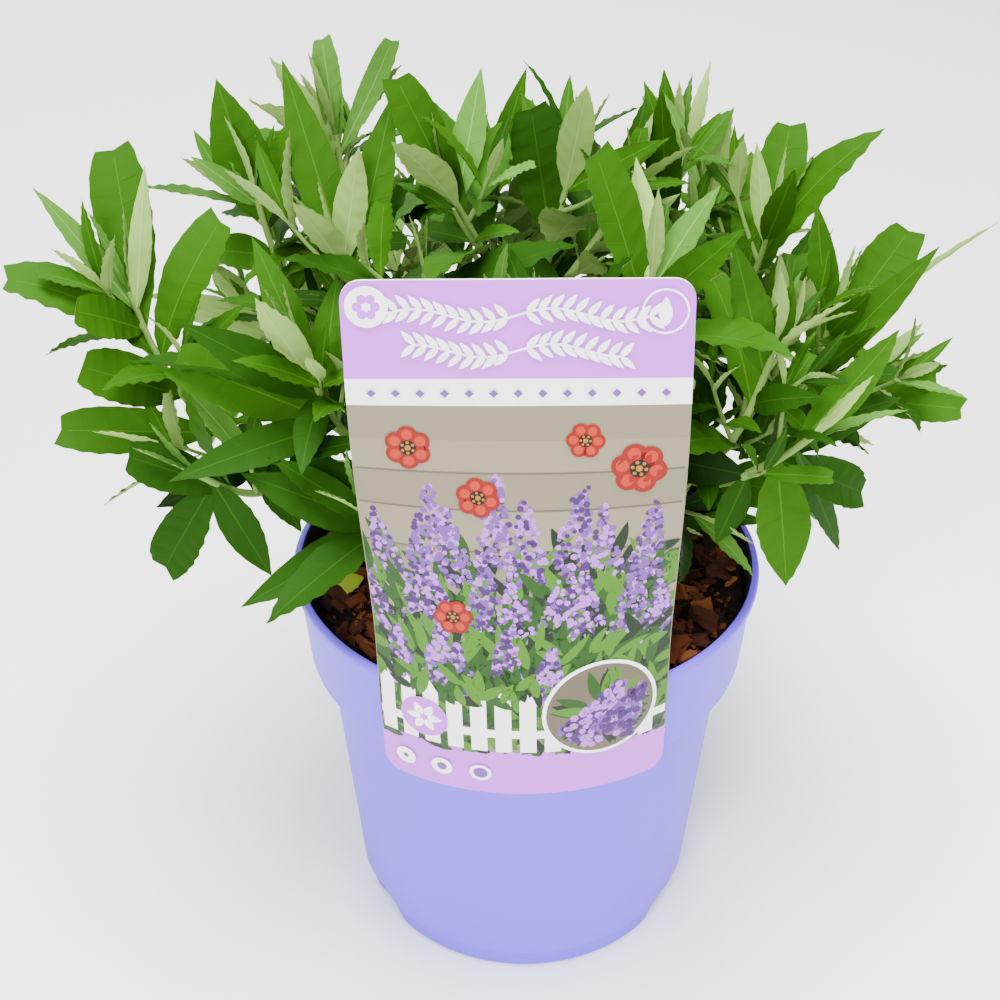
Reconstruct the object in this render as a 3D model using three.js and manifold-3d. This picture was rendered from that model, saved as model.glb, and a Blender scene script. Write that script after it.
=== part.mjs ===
// A young butterfly bush in a 19 cm nursery pot, with a card label hooked over the rim.
// Millimetres, +Z up. The origin is the centre of the pot's flat underside, and +Y is the back.
import * as THREE from 'three';
import { mergeVertices } from 'three/addons/utils/BufferGeometryUtils.js';
import Module from 'manifold-3d';

const wasm = await Module();
wasm.setup();

const GAP = 0.3;

// Pot: one wall swept round the axis, with a lip, a deep collar and a stepped foot
const POT = {
  height: 171,
  lipRadius: 95,
  lipDepth: 4.5,
  collarTop: 93.2,
  collarBottom: 90.4,
  collarDepth: 40.7,
  bodyTop: 83.1,
  bodyBottom: 73.5,
  footTop: 70.5,
  footBottom: 69,
  footHeight: 11,
  wall: 1.8,
  floor: 2.2,
  drainRadius: 5,
  drainCircle: 54,
  drains: 8,
  facets: 48,
};

// Root ball: fills the pot to a little below the rim, level round the stem
const SOIL = { middle: 161, edge: 158.6, flatRadius: 16 };

// Label: a card that follows the collar below the rim, stands straight past the lip and flattens out
// above it, with the heights of its rows as shares of each part
const LABEL = {
  width: 113,
  above: 160.5,
  below: 46.7,
  thick: 0.8,
  corner: 7,
  topBack: 77.3,
  flatAt: 0.85,
  taper: 0.09,
  straight: [-9, 4],
  slack: 0.2,
  turn: -1.6,
  roll: 1.15,
  hookWidth: 38,
  hookRise: 3,
  columns: 12,
  rowsBelow: 3,
  rowsAbove: 9,
};

// Stem, boughs and the shoots that carry the leaves, as radii from foot to tip
const STEM = { flare: 8.5, flareHeight: 9, foot: 5.4, tip: 3.4, height: 76, lean: [-3, 3], sides: 10 };
const BOUGH = { foot: 2.9, tip: 2.3, sides: 6, steps: 6, springback: 0.42 };
const TWIG = { foot: 2.1, tip: 1.2, sides: 3, steps: 6, endPast: 1.5 };

// Masses: name, height of the fork on the stem, and the tip of the bough that carries it
const MASSES = [
  ['left', 178, [-55, -8, 207]],
  ['frontleft', 190, [-32, -27, 213]],
  ['upleft', 202, [-46, 14, 238]],
  ['topleft', 220, [-30, 4, 254]],
  ['top', 0, [-3, 3, 240]],
  ['front', 208, [20, -22, 236]],
  ['upright', 214, [32, 16, 242]],
  ['right', 178, [48, 2, 212]],
  ['frontright', 190, [38, -26, 213]],
  ['back', 208, [4, 40, 236]],
  ['backleft', 190, [-42, 46, 222]],
  ['backright', 190, [42, 48, 222]],
];

// Shoots: name, mass, share of the mass's first shoot where it forks, bend, tip,
// turn of its newest pair in degrees, pairs of leaves, leaf length, seed
const SHOOTS = [
  ['A1', 'left', 0, [-126, -22, 216], [-142, -20, 297], 0, 7, 62, 1],
  ['A2', 'left', 0.35, [-96, -34, 212], [-120, -44, 236], 45, 4, 56, 2],
  ['B1', 'frontleft', 0, [-64, -40, 232], [-78, -44, 282], 0, 7, 66, 3],
  ['B2', 'frontleft', 0.2, [-48, -58, 214], [-58, -66, 234], 45, 4, 62, 4],
  ['C1', 'upleft', 0, [-90, 20, 246], [-101, 20, 320], 45, 7, 58, 5],
  ['C2', 'upleft', 0.3, [-90, 42, 240], [-108, 54, 244], 45, 6, 56, 6],
  ['D1', 'topleft', 0, [-64, 22, 266], [-71, 30, 336], 40, 7, 62, 7],
  ['D2', 'topleft', 0.25, [-56, -12, 270], [-68, -16, 312], 0, 6, 60, 8],
  ['E1', 'top', 0, [-4, 3, 285], [-29, 0, 328], 0, 7, 64, 9],
  ['E2', 'top', 0.2, [6, 8, 290], [14, 10, 330], 0, 7, 60, 10],
  ['F1', 'front', 0, [38, -36, 256], [41, -41, 314], 45, 7, 66, 11],
  ['F2', 'front', 0.3, [10, -46, 262], [2, -50, 296], 0, 6, 60, 12],
  ['G1', 'upright', 0, [82, 24, 244], [90, 20, 304], 0, 7, 66, 13],
  ['G2', 'upright', 0.25, [52, 40, 268], [56, 42, 322], 45, 7, 62, 14],
  ['H1', 'right', 0, [104, 2, 216], [113, 0, 276], 0, 7, 64, 37],
  ['H2', 'right', 0.4, [108, 22, 212], [136, 26, 238], 45, 5, 62, 16],
  ['I1', 'frontright', 0, [76, -40, 226], [85, -41, 290], 45, 7, 60, 17],
  ['I2', 'frontright', 0.35, [72, -52, 232], [98, -54, 258], 0, 5, 66, 18],
  ['J1', 'back', 0, [2, 84, 238], [0, 92, 284], 0, 7, 62, 19],
  ['J2', 'back', 0.3, [-12, 70, 262], [-20, 68, 304], 45, 7, 60, 20],
  ['K1', 'backleft', 0, [-76, 84, 228], [-88, 88, 272], 0, 7, 62, 21],
  ['K2', 'backleft', 0.35, [-52, 110, 220], [-58, 132, 240], 45, 6, 58, 22],
  ['L1', 'backright', 0, [78, 84, 228], [92, 88, 272], 0, 7, 62, 23],
  ['L2', 'backright', 0.35, [52, 108, 220], [50, 136, 240], 45, 6, 58, 24],
  ['B3', 'frontleft', 0.1, [-62, -26, 232], [-75, -30, 254], 90, 4, 60, 25],
  ['C3', 'upleft', 0.2, [-66, 0, 264], [-72, -4, 300], 30, 5, 56, 26],
  ['D3', 'topleft', 0.15, [-38, -18, 270], [-37, -24, 306], 10, 6, 58, 27],
  ['E3', 'top', 0.05, [-10, -30, 262], [-12, -42, 300], 60, 5, 58, 28],
  ['E4', 'top', 0.3, [26, 20, 296], [36, 22, 320], 30, 5, 56, 29],
  ['G3', 'upright', 0.45, [72, 40, 272], [70, 52, 304], 20, 6, 56, 30],
  ['H3', 'right', 0.22, [80, -14, 224], [81, -17, 252], 85, 5, 60, 41],
  ['H4', 'right', 0.5, [98, 10, 246], [97, 12, 270], 75, 5, 56, 36],
  ['J3', 'back', 0.25, [14, 58, 272], [12, 52, 312], 15, 6, 56, 33],
  ['K3', 'backleft', 0.2, [-44, 84, 236], [-40, 100, 272], 30, 6, 56, 34],
  ['L3', 'backright', 0.3, [88, 62, 230], [104, 64, 250], 20, 6, 58, 35],
];

// Leaves that lead the crown's outline: shoot, pair counted from the tip, side of the pair, plan
// angle and climb in degrees, length, width, share that the shears left, bend in degrees, and the
// plan angle that the upper side faces
const LEADS = [
  ['A1', 3, 1, -170, 35, 66, 20, 0.93, 75, -20],
  ['A1', 3, 0, 25, 60, 61, 19, 0.95, 45, -110],
  ['A1', 2, 0, -125, 33, 55, 15, 0.7, 30, -90],
  ['A1', 2, 1, 110, 70, 71, 21, 0.92, 8, -90],
  ['A1', 1, 1, -170, 60, 57, 9, 1, 12, -60],
  ['A1', 1, 0, 15, 80, 55, 8, 1, -20, 90],
  ['A1', 4, 0, -135, 35, 67, 19, 0.75, 20, -90],
  ['A1', 4, 1, 65, 35, 36, 16, 1, 30, -90],
  ['A1', 5, 0, -165, 10, 69, 18, 0.85, 10, -90],
  ['A1', 6, 0, -160, -15, 44, 13, 1, 20, -90],
  ['A1', 6, 1, -60, -20, 36, 13, 1, 15, -90],
  ['A2', 2, 0, -165, 30, 51, 17, 0.8, 10, -90],
  ['A2', 1, 0, -35, -52, 41, 14, 1, 10, -90],
  ['A2', 1, 1, -178, -60, 49, 19, 0.92, 10, -90],
  ['A2', 3, 0, 100, 20, 45, 13, 1, 10, -90],
  ['B1', 2, 1, -155, 40, 62, 15, 1, 25, -90],
  ['B1', 3, 1, -170, 30, 68, 20, 0.93, 10, -90],
  ['B1', 3, 0, -145, 0, 66, 14, 1, 30, -90],
  ['B2', 2, 1, -170, 30, 57, 17, 1, 10, -90],
  ['B2', 3, 0, -145, -10, 68, 15, 1, 12, -90],
  ['C1', 2, 0, 160, 75, 56, 21, 1, 8, -90],
  ['C1', 1, 1, -150, 45, 34, 8, 1, 25, -90],
  ['C1', 3, 1, -160, 15, 30, 14, 1, 20, -90],
  ['D1', 1, 0, 125, 80, 45, 10, 0.95, 5, -90],
  ['D1', 1, 1, -5, 64, 54, 9, 0.9, -25, -90],
  ['D1', 2, 1, 165, 60, 50, 13, 1, 10, 90],
  ['D2', 2, 1, 140, 70, 81, 16, 1, 5, -90],
  ['D2', 1, 0, 10, 80, 45, 12, 1, 15, 90],
  ['D2', 2, 0, 45, 70, 69, 15, 1, 5, -90],
  ['E1', 2, 1, 180, 66, 66, 16, 0.9, 10, -90],
  ['E1', 1, 0, 69, 60, 49, 12, 1, 0, -90],
  ['E2', 1, 0, -20, 35, 42, 10, 1, 0, -90],
  ['E2', 2, 1, 130, 60, 44, 9, 1, 0, -90],
  ['E2', 3, 1, 155, 80, 58, 19, 0.9, 5, -90],
  ['F1', 2, 1, 160, 70, 63, 18, 0.95, 5, -60],
  ['F1', 1, 1, 100, 55, 47, 11, 1, 5, 90],
  ['F1', 1, 0, 25, 55, 43, 11, 1, 20, -120],
  ['F1', 2, 0, -30, 50, 51, 13, 1, 25, -90],
  ['G1', 2, 0, -10, 55, 69, 19, 1, 50, -140],
  ['G1', 2, 1, 65, 60, 63, 18, 0.85, 5, -90],
  ['G1', 1, 1, 155, 80, 40, 8, 1, 0, 90],
  ['G1', 1, 0, -80, 60, 45, 11, 1, 5, -90],
  ['G2', 2, 1, 125, 80, 49, 11, 1, 0, -90],
  ['G2', 3, 1, -110, 70, 68, 14, 1, 5, -110],
  ['G2', 1, 1, 140, 65, 38, 8, 1, 0, -90],
  ['G2', 2, 0, 62, 55, 54, 9, 1, -15, 90],
  ['G3', 2, 1, 60, 45, 44, 10, 1, 0, -90],
  ['H1', 3, 0, -10, 55, 73, 13, 1, 10, -90],
  ['H1', 2, 1, 20, 55, 63, 19, 0.9, 5, -90],
  ['H1', 1, 1, 170, 80, 54, 12, 1, 5, -90],
  ['H1', 2, 0, 15, 35, 81, 7, 1, 10, 90],
  ['H1', 3, 1, -75, 45, 67, 8, 1, -10, -90],
  ['H1', 1, 0, -70, 50, 38, 10, 1, 0, -90],
  ['H2', 1, 0, -20, 20, 35, 16, 0.95, 15, -90],
  ['H2', 2, 0, -5, -3, 54, 14, 0.93, 20, -90],
  ['H3', 3, 0, -5, 22, 68, 21, 1, 15, -90],
  ['I1', 2, 1, -145, 70, 61, 14, 1, 5, -90],
  ['I1', 1, 0, -40, 80, 31, 9, 1, 5, -90],
  ['I1', 3, 0, -55, 30, 37, 11, 1, 50, -90],
  ['I2', 3, 0, 175, 10, 45, 15, 1, 10, -90],
  ['I2', 2, 0, -60, -75, 50, 20, 1, 15, -90],
  ['I2', 2, 1, 25, -32, 52, 17, 0.93, 20, -90],
  ['I2', 1, 1, 40, -60, 71, 9, 1, 10, -90],
  ['I2', 3, 1, -140, -60, 28, 11, 1, 10, -90],
  ['J2', 2, 1, 25, 72, 60, 11, 1, 8, -90],
  ['L1', 2, 1, 60, 55, 48, 12, 1, 10, -90],
  ['J3', 1, 0, 150, 72, 52, 7, 1, 60, -20],
];

// Per rank from the tip: share of full length, angle from the stem, bend, distance to the next pair
const RANKS = [
  [0.5, 9, 2, 6],
  [0.78, 22, 10, 8],
  [1.0, 36, 20, 13],
  [1.06, 50, 30, 17],
  [1.0, 60, 40, 20],
  [0.95, 68, 45, 21],
  [0.85, 74, 48, 20],
];

// How far the seeded leaves swing round these values, in degrees or as shares, and their blade:
// half width as a share of length, the rings that it is built on, its fold and its keel in mm
const SWING = { turn: 12, angle: 8, bend: 10, length: 0.12, width: 0.1 };
const LEAF = {
  half: 0.165,
  young: 0.6,
  skyward: 0.6,
  faceClimb: 0.8,
  shorn: 0.22,
  shornLeast: 0.62,
  rings: [[0.3, 0.92], [0.68, 0.8]],
  shortUnder: 42,
  shortRings: [[0.45, 1]],
  shornAt: 0.4,
  shornWidths: [1, 0.74],
  fold: 0.9,
  keel: 0.8,
  root: 0.35,
};
const CURVE_STEPS = 32;
const POT_CLEARANCE = 2;
const SPARE = 0.5;

const COLOURS = {
  pot: [0xaba6ea, 0.5],
  soil: [0x5a3420, 0.95],
  label: [0xdbbdeb, 0.4],
  wood: [0x8d8a62, 0.8],
  leaf: [0x4f8f22, 0.6],
};

const rad = THREE.MathUtils.degToRad;
const vector = (x, y, z) => new THREE.Vector3(x, y, z);
const along = (point, direction, distance) => point.clone().addScaledVector(direction, distance);

// Pieces of a mesh, and solids

// Skin over rings of points that run anticlockwise seen from the last ring; a ring may be one point
function skin(rings) {
  const starts = [];
  const points = [];
  for (const ring of rings) {
    starts.push(points.length);
    points.push(...ring);
  }
  const index = [];
  for (let r = 0; r + 1 < rings.length; r += 1) {
    const [low, high] = [rings[r].length, rings[r + 1].length];
    const sides = Math.max(low, high);
    for (let i = 0; i < sides; i += 1) {
      const j = (i + 1) % sides;
      const [a, b] = [starts[r] + (i % low), starts[r] + (j % low)];
      const [c, d] = [starts[r + 1] + (i % high), starts[r + 1] + (j % high)];
      if (low > 1) {
        index.push(a, b, d);
      }
      if (high > 1) {
        index.push(a, d, c);
      }
    }
  }
  const last = starts.length - 1;
  for (let i = 1; i + 1 < rings[0].length; i += 1) {
    index.push(starts[0], starts[0] + i + 1, starts[0] + i);
  }
  for (let i = 1; i + 1 < rings[last].length; i += 1) {
    index.push(starts[last], starts[last] + i, starts[last] + i + 1);
  }
  return new THREE.BufferGeometry().setFromPoints(points).setIndex(index);
}

function solidOf(geometry) {
  const bare = geometry.clone();
  bare.deleteAttribute('normal');
  bare.deleteAttribute('uv');
  const merged = mergeVertices(bare, 1e-4);
  const index = merged.index.array;
  const kept = [];
  for (let i = 0; i < index.length; i += 3) {
    const [a, b, c] = [index[i], index[i + 1], index[i + 2]];
    if (a !== b && b !== c && c !== a) {
      kept.push(a, b, c);
    }
  }
  const vertProperties = new Float32Array(merged.attributes.position.array);
  return new wasm.Manifold(new wasm.Mesh({ numProp: 3, vertProperties, triVerts: new Uint32Array(kept) }));
}

// The largest body of a solid, so that loose scraps go and a sealed hollow is filled
function mainBody(solid) {
  const bodies = solid.decompose();
  return bodies.reduce((best, body) => (body.volume() > best.volume() ? body : best));
}

function meshOf(name, solid, [color, roughness]) {
  const mesh = solid.getMesh();
  const geometry = new THREE.BufferGeometry();
  geometry.setAttribute('position', new THREE.BufferAttribute(mesh.vertProperties, 3));
  geometry.setIndex(new THREE.BufferAttribute(mesh.triVerts, 1));
  geometry.computeVertexNormals();
  const material = new THREE.MeshStandardMaterial({ color, roughness, metalness: 0 });
  const result = new THREE.Mesh(geometry, material);
  result.name = name;
  return result;
}

// Pot, soil and label

const RIM = POT.height;
const COLLAR_FOOT = RIM - POT.collarDepth;

function turned(profile) {
  const points = [...profile, profile[0]].map(([r, z]) => new THREE.Vector2(r, z));
  return solidOf(new THREE.LatheGeometry(points, POT.facets).rotateX(Math.PI / 2));
}

function potSolid() {
  const { wall, floor } = POT;
  let body = turned([
    [0, 0],
    [POT.footBottom - 1, 0],
    [POT.footBottom, 1],
    [POT.footTop, POT.footHeight - 1],
    [POT.bodyBottom, POT.footHeight + 1.5],
    [POT.bodyTop, COLLAR_FOOT - 1],
    [POT.bodyTop + 0.8, COLLAR_FOOT],
    [POT.collarBottom - 1, COLLAR_FOOT],
    [POT.collarBottom, COLLAR_FOOT + 1],
    [POT.collarTop, RIM - POT.lipDepth],
    [POT.lipRadius, RIM - POT.lipDepth + 0.8],
    [POT.lipRadius, RIM - 1.2],
    [POT.lipRadius - 1, RIM],
    [POT.collarTop - 1, RIM],
    [POT.collarTop - wall, RIM - 1],
    [POT.collarBottom - wall, COLLAR_FOOT + wall],
    [POT.bodyTop - wall, COLLAR_FOOT - 1],
    [POT.bodyBottom - wall + 0.2, POT.footHeight + 4],
    [POT.footTop - wall, POT.footHeight],
    [POT.footBottom - wall, floor + 1],
    [POT.footBottom - wall - 2, floor],
    [0, floor],
  ]);
  for (let i = 0; i < POT.drains; i += 1) {
    const turn = (i * 2 * Math.PI) / POT.drains;
    const drill = new THREE.CylinderGeometry(POT.drainRadius, POT.drainRadius, 3 * floor, 12);
    drill.rotateX(Math.PI / 2);
    drill.translate(POT.drainCircle * Math.cos(turn), POT.drainCircle * Math.sin(turn), floor / 2);
    body = body.subtract(solidOf(drill));
  }
  return body;
}

function soilSolid() {
  const inset = POT.wall + GAP;
  return turned([
    [0, POT.floor + GAP],
    [POT.footBottom - inset - 2, POT.floor + GAP],
    [POT.footBottom - inset, POT.floor + GAP + 1],
    [POT.footTop - inset, POT.footHeight + 0.3],
    [POT.bodyBottom - inset + 0.2, POT.footHeight + 4.3],
    [POT.bodyTop - inset, COLLAR_FOOT - 0.6],
    [POT.collarBottom - inset, COLLAR_FOOT + POT.wall + GAP + 0.2],
    [POT.collarTop - inset - 1, SOIL.edge],
    [SOIL.flatRadius, SOIL.middle],
    [0, SOIL.middle],
  ]);
}

const HUG = POT.lipRadius + GAP + LABEL.slack + LABEL.thick / 2;

// A point of the label: across and height above the rim, offset from the middle of its thickness
function onLabel(across, height, offset) {
  const roll = rad(LABEL.roll);
  const u = across * Math.cos(roll) - height * Math.sin(roll);
  const v = across * Math.sin(roll) + height * Math.cos(roll);
  const [low, high] = LABEL.straight;
  const below = Math.max(0, low - v);
  const rise = Math.max(0, (v - high) / (LABEL.above - high));
  const ease = Math.min(rise / LABEL.flatAt, 1);
  const curl = (1 - ease * ease * (3 - 2 * ease)) / (HUG - LABEL.taper * below);
  const middle = -(HUG - LABEL.taper * below) + (HUG - LABEL.topBack) * rise;
  const flat = Math.abs(curl) < 1e-5;
  const x = flat ? u : Math.sin(u * curl) / curl;
  const y = middle + (flat ? 0 : (1 - Math.cos(u * curl)) / curl);
  const point = vector(x + offset * Math.sin(u * curl), y - offset * Math.cos(u * curl), RIM + v);
  return point.applyAxisAngle(vector(0, 0, 1), rad(LABEL.turn));
}

// Rows of the label as height above the rim and half width, with its corners rounded
function labelRows() {
  const { corner, above, below, width, rowsBelow, rowsAbove } = LABEL;
  const [low, high] = [LABEL.straight[0] + 1.5, LABEL.straight[1] - 1.5];
  const inset = (turn) => corner * (1 - Math.cos(rad(turn)));
  const half = (turn) => width / 2 - corner * (1 - Math.sin(rad(turn)));
  const rows = [0, 30, 60].map((turn) => [-below + inset(turn), half(turn)]);
  for (let i = 0; i <= rowsBelow; i += 1) {
    rows.push([-below + corner + ((low + below - corner) * i) / rowsBelow, width / 2]);
  }
  for (let i = 0; i <= rowsAbove; i += 1) {
    rows.push([high + ((above - corner - high) * i) / rowsAbove, width / 2]);
  }
  return [...rows, ...[60, 30, 0].map((turn) => [above - inset(turn), half(turn)])];
}

function labelCard() {
  const rows = labelRows();
  const columns = LABEL.columns;
  const points = [];
  for (const [height, half] of rows) {
    for (const offset of [LABEL.thick / 2, -LABEL.thick / 2]) {
      for (let i = 0; i <= columns; i += 1) {
        points.push(onLabel(half * ((2 * i) / columns - 1), height, offset));
      }
    }
  }
  const at = (row, side, column) => (row * 2 + side) * (columns + 1) + column;
  const index = [];
  const quad = (a, b, c, d) => index.push(a, b, c, a, c, d);
  for (let r = 0; r + 1 < rows.length; r += 1) {
    for (let i = 0; i < columns; i += 1) {
      quad(at(r, 0, i), at(r, 0, i + 1), at(r + 1, 0, i + 1), at(r + 1, 0, i));
      quad(at(r, 1, i + 1), at(r, 1, i), at(r + 1, 1, i), at(r + 1, 1, i + 1));
    }
    quad(at(r, 1, 0), at(r, 0, 0), at(r + 1, 0, 0), at(r + 1, 1, 0));
    quad(at(r, 0, columns), at(r, 1, columns), at(r + 1, 1, columns), at(r + 1, 0, columns));
  }
  const top = rows.length - 1;
  for (let i = 0; i < columns; i += 1) {
    quad(at(0, 1, i), at(0, 1, i + 1), at(0, 0, i + 1), at(0, 0, i));
    quad(at(top, 0, i), at(top, 0, i + 1), at(top, 1, i + 1), at(top, 1, i));
  }
  return new THREE.BufferGeometry().setFromPoints(points).setIndex(index);
}

// The hook: a strip from the card's back over the rim and down inside it
function labelHook() {
  const t = LABEL.thick;
  const inner = POT.collarTop - POT.wall - GAP;
  const crest = RIM + GAP;
  const profile = [
    [HUG, crest],
    [HUG, crest + LABEL.hookRise],
    [HUG - 1.2, crest + t],
    [inner - t, crest + t],
    [inner - t - 1, SOIL.edge + 2],
    [inner - 1, SOIL.edge + 2],
    [inner, RIM - 1],
    [inner + 0.8, crest],
  ];
  const half = LABEL.hookWidth / 2 / HUG;
  const steps = 6;
  const rings = Array.from({ length: steps + 1 }, (_, i) => {
    const turn = rad(LABEL.turn - 90) + half - (2 * half * i) / steps;
    return profile.map(([r, z]) => vector(r * Math.cos(turn), r * Math.sin(turn), z));
  });
  const geometry = skin(rings);
  const caps = THREE.ShapeUtils.triangulateShape(profile.map(([r, z]) => new THREE.Vector2(r, z)), []);
  const walls = Array.from(geometry.index.array).slice(0, steps * profile.length * 6);
  const end = steps * profile.length;
  for (const [a, b, c] of caps) {
    walls.push(a, c, b, end + a, end + b, end + c);
  }
  return geometry.setIndex(walls);
}

// Limbs

function seeded(seed) {
  let state = seed | 0;
  return () => {
    state = (state + 0x6d2b79f5) | 0;
    let t = Math.imul(state ^ (state >>> 15), 1 | state);
    t = (t + Math.imul(t ^ (t >>> 7), 61 | t)) ^ t;
    return ((t ^ (t >>> 14)) >>> 0) / 4294967296;
  };
}

function curveOf(foot, bend, tip) {
  const curve = new THREE.QuadraticBezierCurve3(foot, bend, tip);
  const stops = [0];
  for (let i = 1; i <= CURVE_STEPS; i += 1) {
    const step = curve.getPoint(i / CURVE_STEPS).distanceTo(curve.getPoint((i - 1) / CURVE_STEPS));
    stops.push(stops[i - 1] + step);
  }
  return { curve, stops, length: stops[CURVE_STEPS] };
}

// Share of the curve that lies a distance back from its tip
function shareBack({ stops, length }, distance) {
  const target = length - distance;
  let i = 0;
  while (i < CURVE_STEPS - 1 && stops[i + 1] < target) {
    i += 1;
  }
  return (i + (target - stops[i]) / (stops[i + 1] - stops[i])) / CURVE_STEPS;
}

// Two directions square to an axis, the first as near to +X as it can be
function crossAxes(axis) {
  const first = vector(1, 0, 0).addScaledVector(axis, -axis.x).normalize();
  return [first, axis.clone().cross(first)];
}

function ring(centre, axis, radius, sides) {
  const [first, second] = crossAxes(axis);
  return Array.from({ length: sides }, (_, i) => {
    const turn = (2 * Math.PI * i) / sides;
    return along(along(centre, first, radius * Math.cos(turn)), second, radius * Math.sin(turn));
  });
}

// Tapering limb along a curve, as the rings that it is built on
function limbRings({ curve }, shape, past = 0) {
  return Array.from({ length: shape.steps + 1 }, (_, i) => {
    const share = i / shape.steps;
    const axis = curve.getTangent(share);
    const centre = along(curve.getPoint(share), axis, i === shape.steps ? past : 0);
    return ring(centre, axis, shape.foot + (shape.tip - shape.foot) * share, shape.sides);
  });
}

const STEM_FOOT = vector(0, 2, SOIL.middle + GAP);
const STEM_TIP = along(STEM_FOOT, vector(STEM.lean[0], STEM.lean[1] - 2, STEM.height), 1);

function stemRings(extra) {
  const up = vector(0, 0, 1);
  const stops = [[0, STEM.flare], [0.35, 0.78 * STEM.flare], [1, STEM.foot]].map(([share, radius]) => [
    (share * STEM.flareHeight) / STEM.height,
    radius,
  ]);
  stops.push([1, STEM.tip]);
  return stops.map(([share, radius]) => {
    const centre = STEM_FOOT.clone().lerp(STEM_TIP, share);
    return ring(centre, up, radius + extra, STEM.sides);
  });
}

// Where the stem's axis stands at a height
function stemAt(height) {
  return STEM_FOOT.clone().lerp(STEM_TIP, (height - STEM_FOOT.z) / (STEM_TIP.z - STEM_FOOT.z));
}

// Leaves

// A blade that bends as an arc in the plane of its direction and its upper side's normal
function blade(base, direction, face, bend, length, half, kept) {
  const normal = face.clone().addScaledVector(direction, -face.dot(direction)).normalize();
  const side = direction.clone().cross(normal);
  const arc = Math.abs(bend) < 1e-3 ? 1e-3 : bend;
  return { base, direction, normal, side, arc, length, half, kept };
}

function bladeFrame(leaf, share) {
  const turn = leaf.arc * share;
  const size = leaf.length / leaf.arc;
  const point = along(leaf.base, leaf.direction, size * Math.sin(turn));
  point.addScaledVector(leaf.normal, -size * (1 - Math.cos(turn)));
  const normal = leaf.direction.clone().multiplyScalar(Math.sin(turn));
  return [point, normal.addScaledVector(leaf.normal, Math.cos(turn))];
}

// The blade as rings of left edge, keel and right edge, grown by spare
function bladeRings(leaf, spare = 0) {
  const section = (share, width) => {
    const [point, normal] = bladeFrame(leaf, share);
    const half = leaf.half * width + spare;
    const edge = along(point, normal, LEAF.fold + spare);
    const keel = along(point, normal, -LEAF.keel - spare);
    return [along(edge, leaf.side, half), keel, along(edge, leaf.side, -half)];
  };
  const root = [along(leaf.base, leaf.direction, -LEAF.root * TWIG.tip)];
  if (leaf.kept < 1) {
    const [near, far] = LEAF.shornWidths;
    return [root, section(LEAF.shornAt * leaf.kept, near), section(leaf.kept, far)];
  }
  const [tip] = bladeFrame(leaf, 1);
  const rings = leaf.length < LEAF.shortUnder ? LEAF.shortRings : LEAF.rings;
  return [root, ...rings.map(([share, width]) => section(share, width)), [tip]];
}

// Every leaf of a shoot, in opposite pairs that turn by a quarter from pair to pair
function shootLeaves([name, mass, , , , turn, pairs, size, seed], line) {
  const next = seeded(seed * 7919);
  const swing = (reach) => (2 * next() - 1) * reach;
  const leaves = [];
  let distance = 0;
  for (let rank = 0; rank < pairs && distance < line.length - 3; rank += 1) {
    const [share, angle, bend, step] = RANKS[Math.min(rank, RANKS.length - 1)];
    const at = shareBack(line, distance);
    const base = line.curve.getPoint(at);
    const axis = line.curve.getTangent(at);
    const [first, second] = crossAxes(axis);
    for (const side of [0, 1]) {
      const around = rad(turn + 90 * rank + 180 * side + swing(SWING.turn));
      const open = rad(angle + swing(SWING.angle));
      const arc = rad(bend + swing(SWING.bend));
      const length = size * share * (1 + swing(SWING.length));
      const slim = LEAF.young + ((1 - LEAF.young) * Math.min(rank, 3)) / 3;
      const half = length * LEAF.half * slim * (1 + swing(SWING.width));
      const chance = next();
      const kept = chance > LEAF.shorn || rank < 1 ? 1 : LEAF.shornLeast + chance;
      const out = along(first.clone().multiplyScalar(Math.cos(around)), second, Math.sin(around));
      const direction = along(axis.clone().multiplyScalar(Math.cos(open)), out, Math.sin(open));
      const face = along(axis.clone().multiplyScalar(Math.sin(open)), out, -Math.cos(open));
      face.z += LEAF.skyward;
      const lead = LEADS.find(([shoot, pair, hand]) => shoot === name && pair === rank && hand === side);
      const leaf = lead ? leadBlade(base, lead) : blade(base, direction, face, arc, length, half, kept);
      leaves.push({ ...leaf, mass, shoot: name, lead: Boolean(lead) });
    }
    distance += step;
  }
  return leaves;
}

function leadBlade(base, [, , , turn, climb, reach, width, kept, bend, facing]) {
  const [a, c, f, arc] = [turn, climb, facing, bend].map(rad);
  const chord = vector(Math.cos(c) * Math.cos(a), Math.cos(c) * Math.sin(a), Math.sin(c));
  const face = vector(Math.cos(f), Math.sin(f), LEAF.faceClimb);
  face.addScaledVector(chord, -face.dot(chord)).normalize();
  const direction = along(chord.clone().multiplyScalar(Math.cos(arc / 2)), face, Math.sin(arc / 2));
  const length = Math.abs(arc) < 1e-3 ? reach : (reach * arc) / 2 / Math.sin(arc / 2);
  return blade(base, direction, face, arc, length, width / 2, kept);
}

// Space: what each leaf has to stay clear of

function space(node, shoot, geometry) {
  const at = geometry.attributes.position;
  const points = Array.from({ length: at.count }, (_, i) => [at.getX(i), at.getY(i), at.getZ(i)]);
  const faces = [];
  const edges = new Map();
  const index = geometry.index.array;
  for (let i = 0; i < index.length; i += 3) {
    const face = [index[i], index[i + 1], index[i + 2]];
    faces.push(face);
    face.forEach((a, k) => {
      const b = face[(k + 1) % 3];
      edges.set(`${Math.min(a, b)},${Math.max(a, b)}`, [a, b]);
    });
  }
  geometry.computeBoundingSphere();
  const { center, radius } = geometry.boundingSphere;
  return { node, shoot, points, faces, edges: [...edges.values()], center, radius };
}

const minus = (a, b) => [a[0] - b[0], a[1] - b[1], a[2] - b[2]];
const dot = (a, b) => a[0] * b[0] + a[1] * b[1] + a[2] * b[2];
const cross = (a, b) => [a[1] * b[2] - a[2] * b[1], a[2] * b[0] - a[0] * b[2], a[0] * b[1] - a[1] * b[0]];

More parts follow.
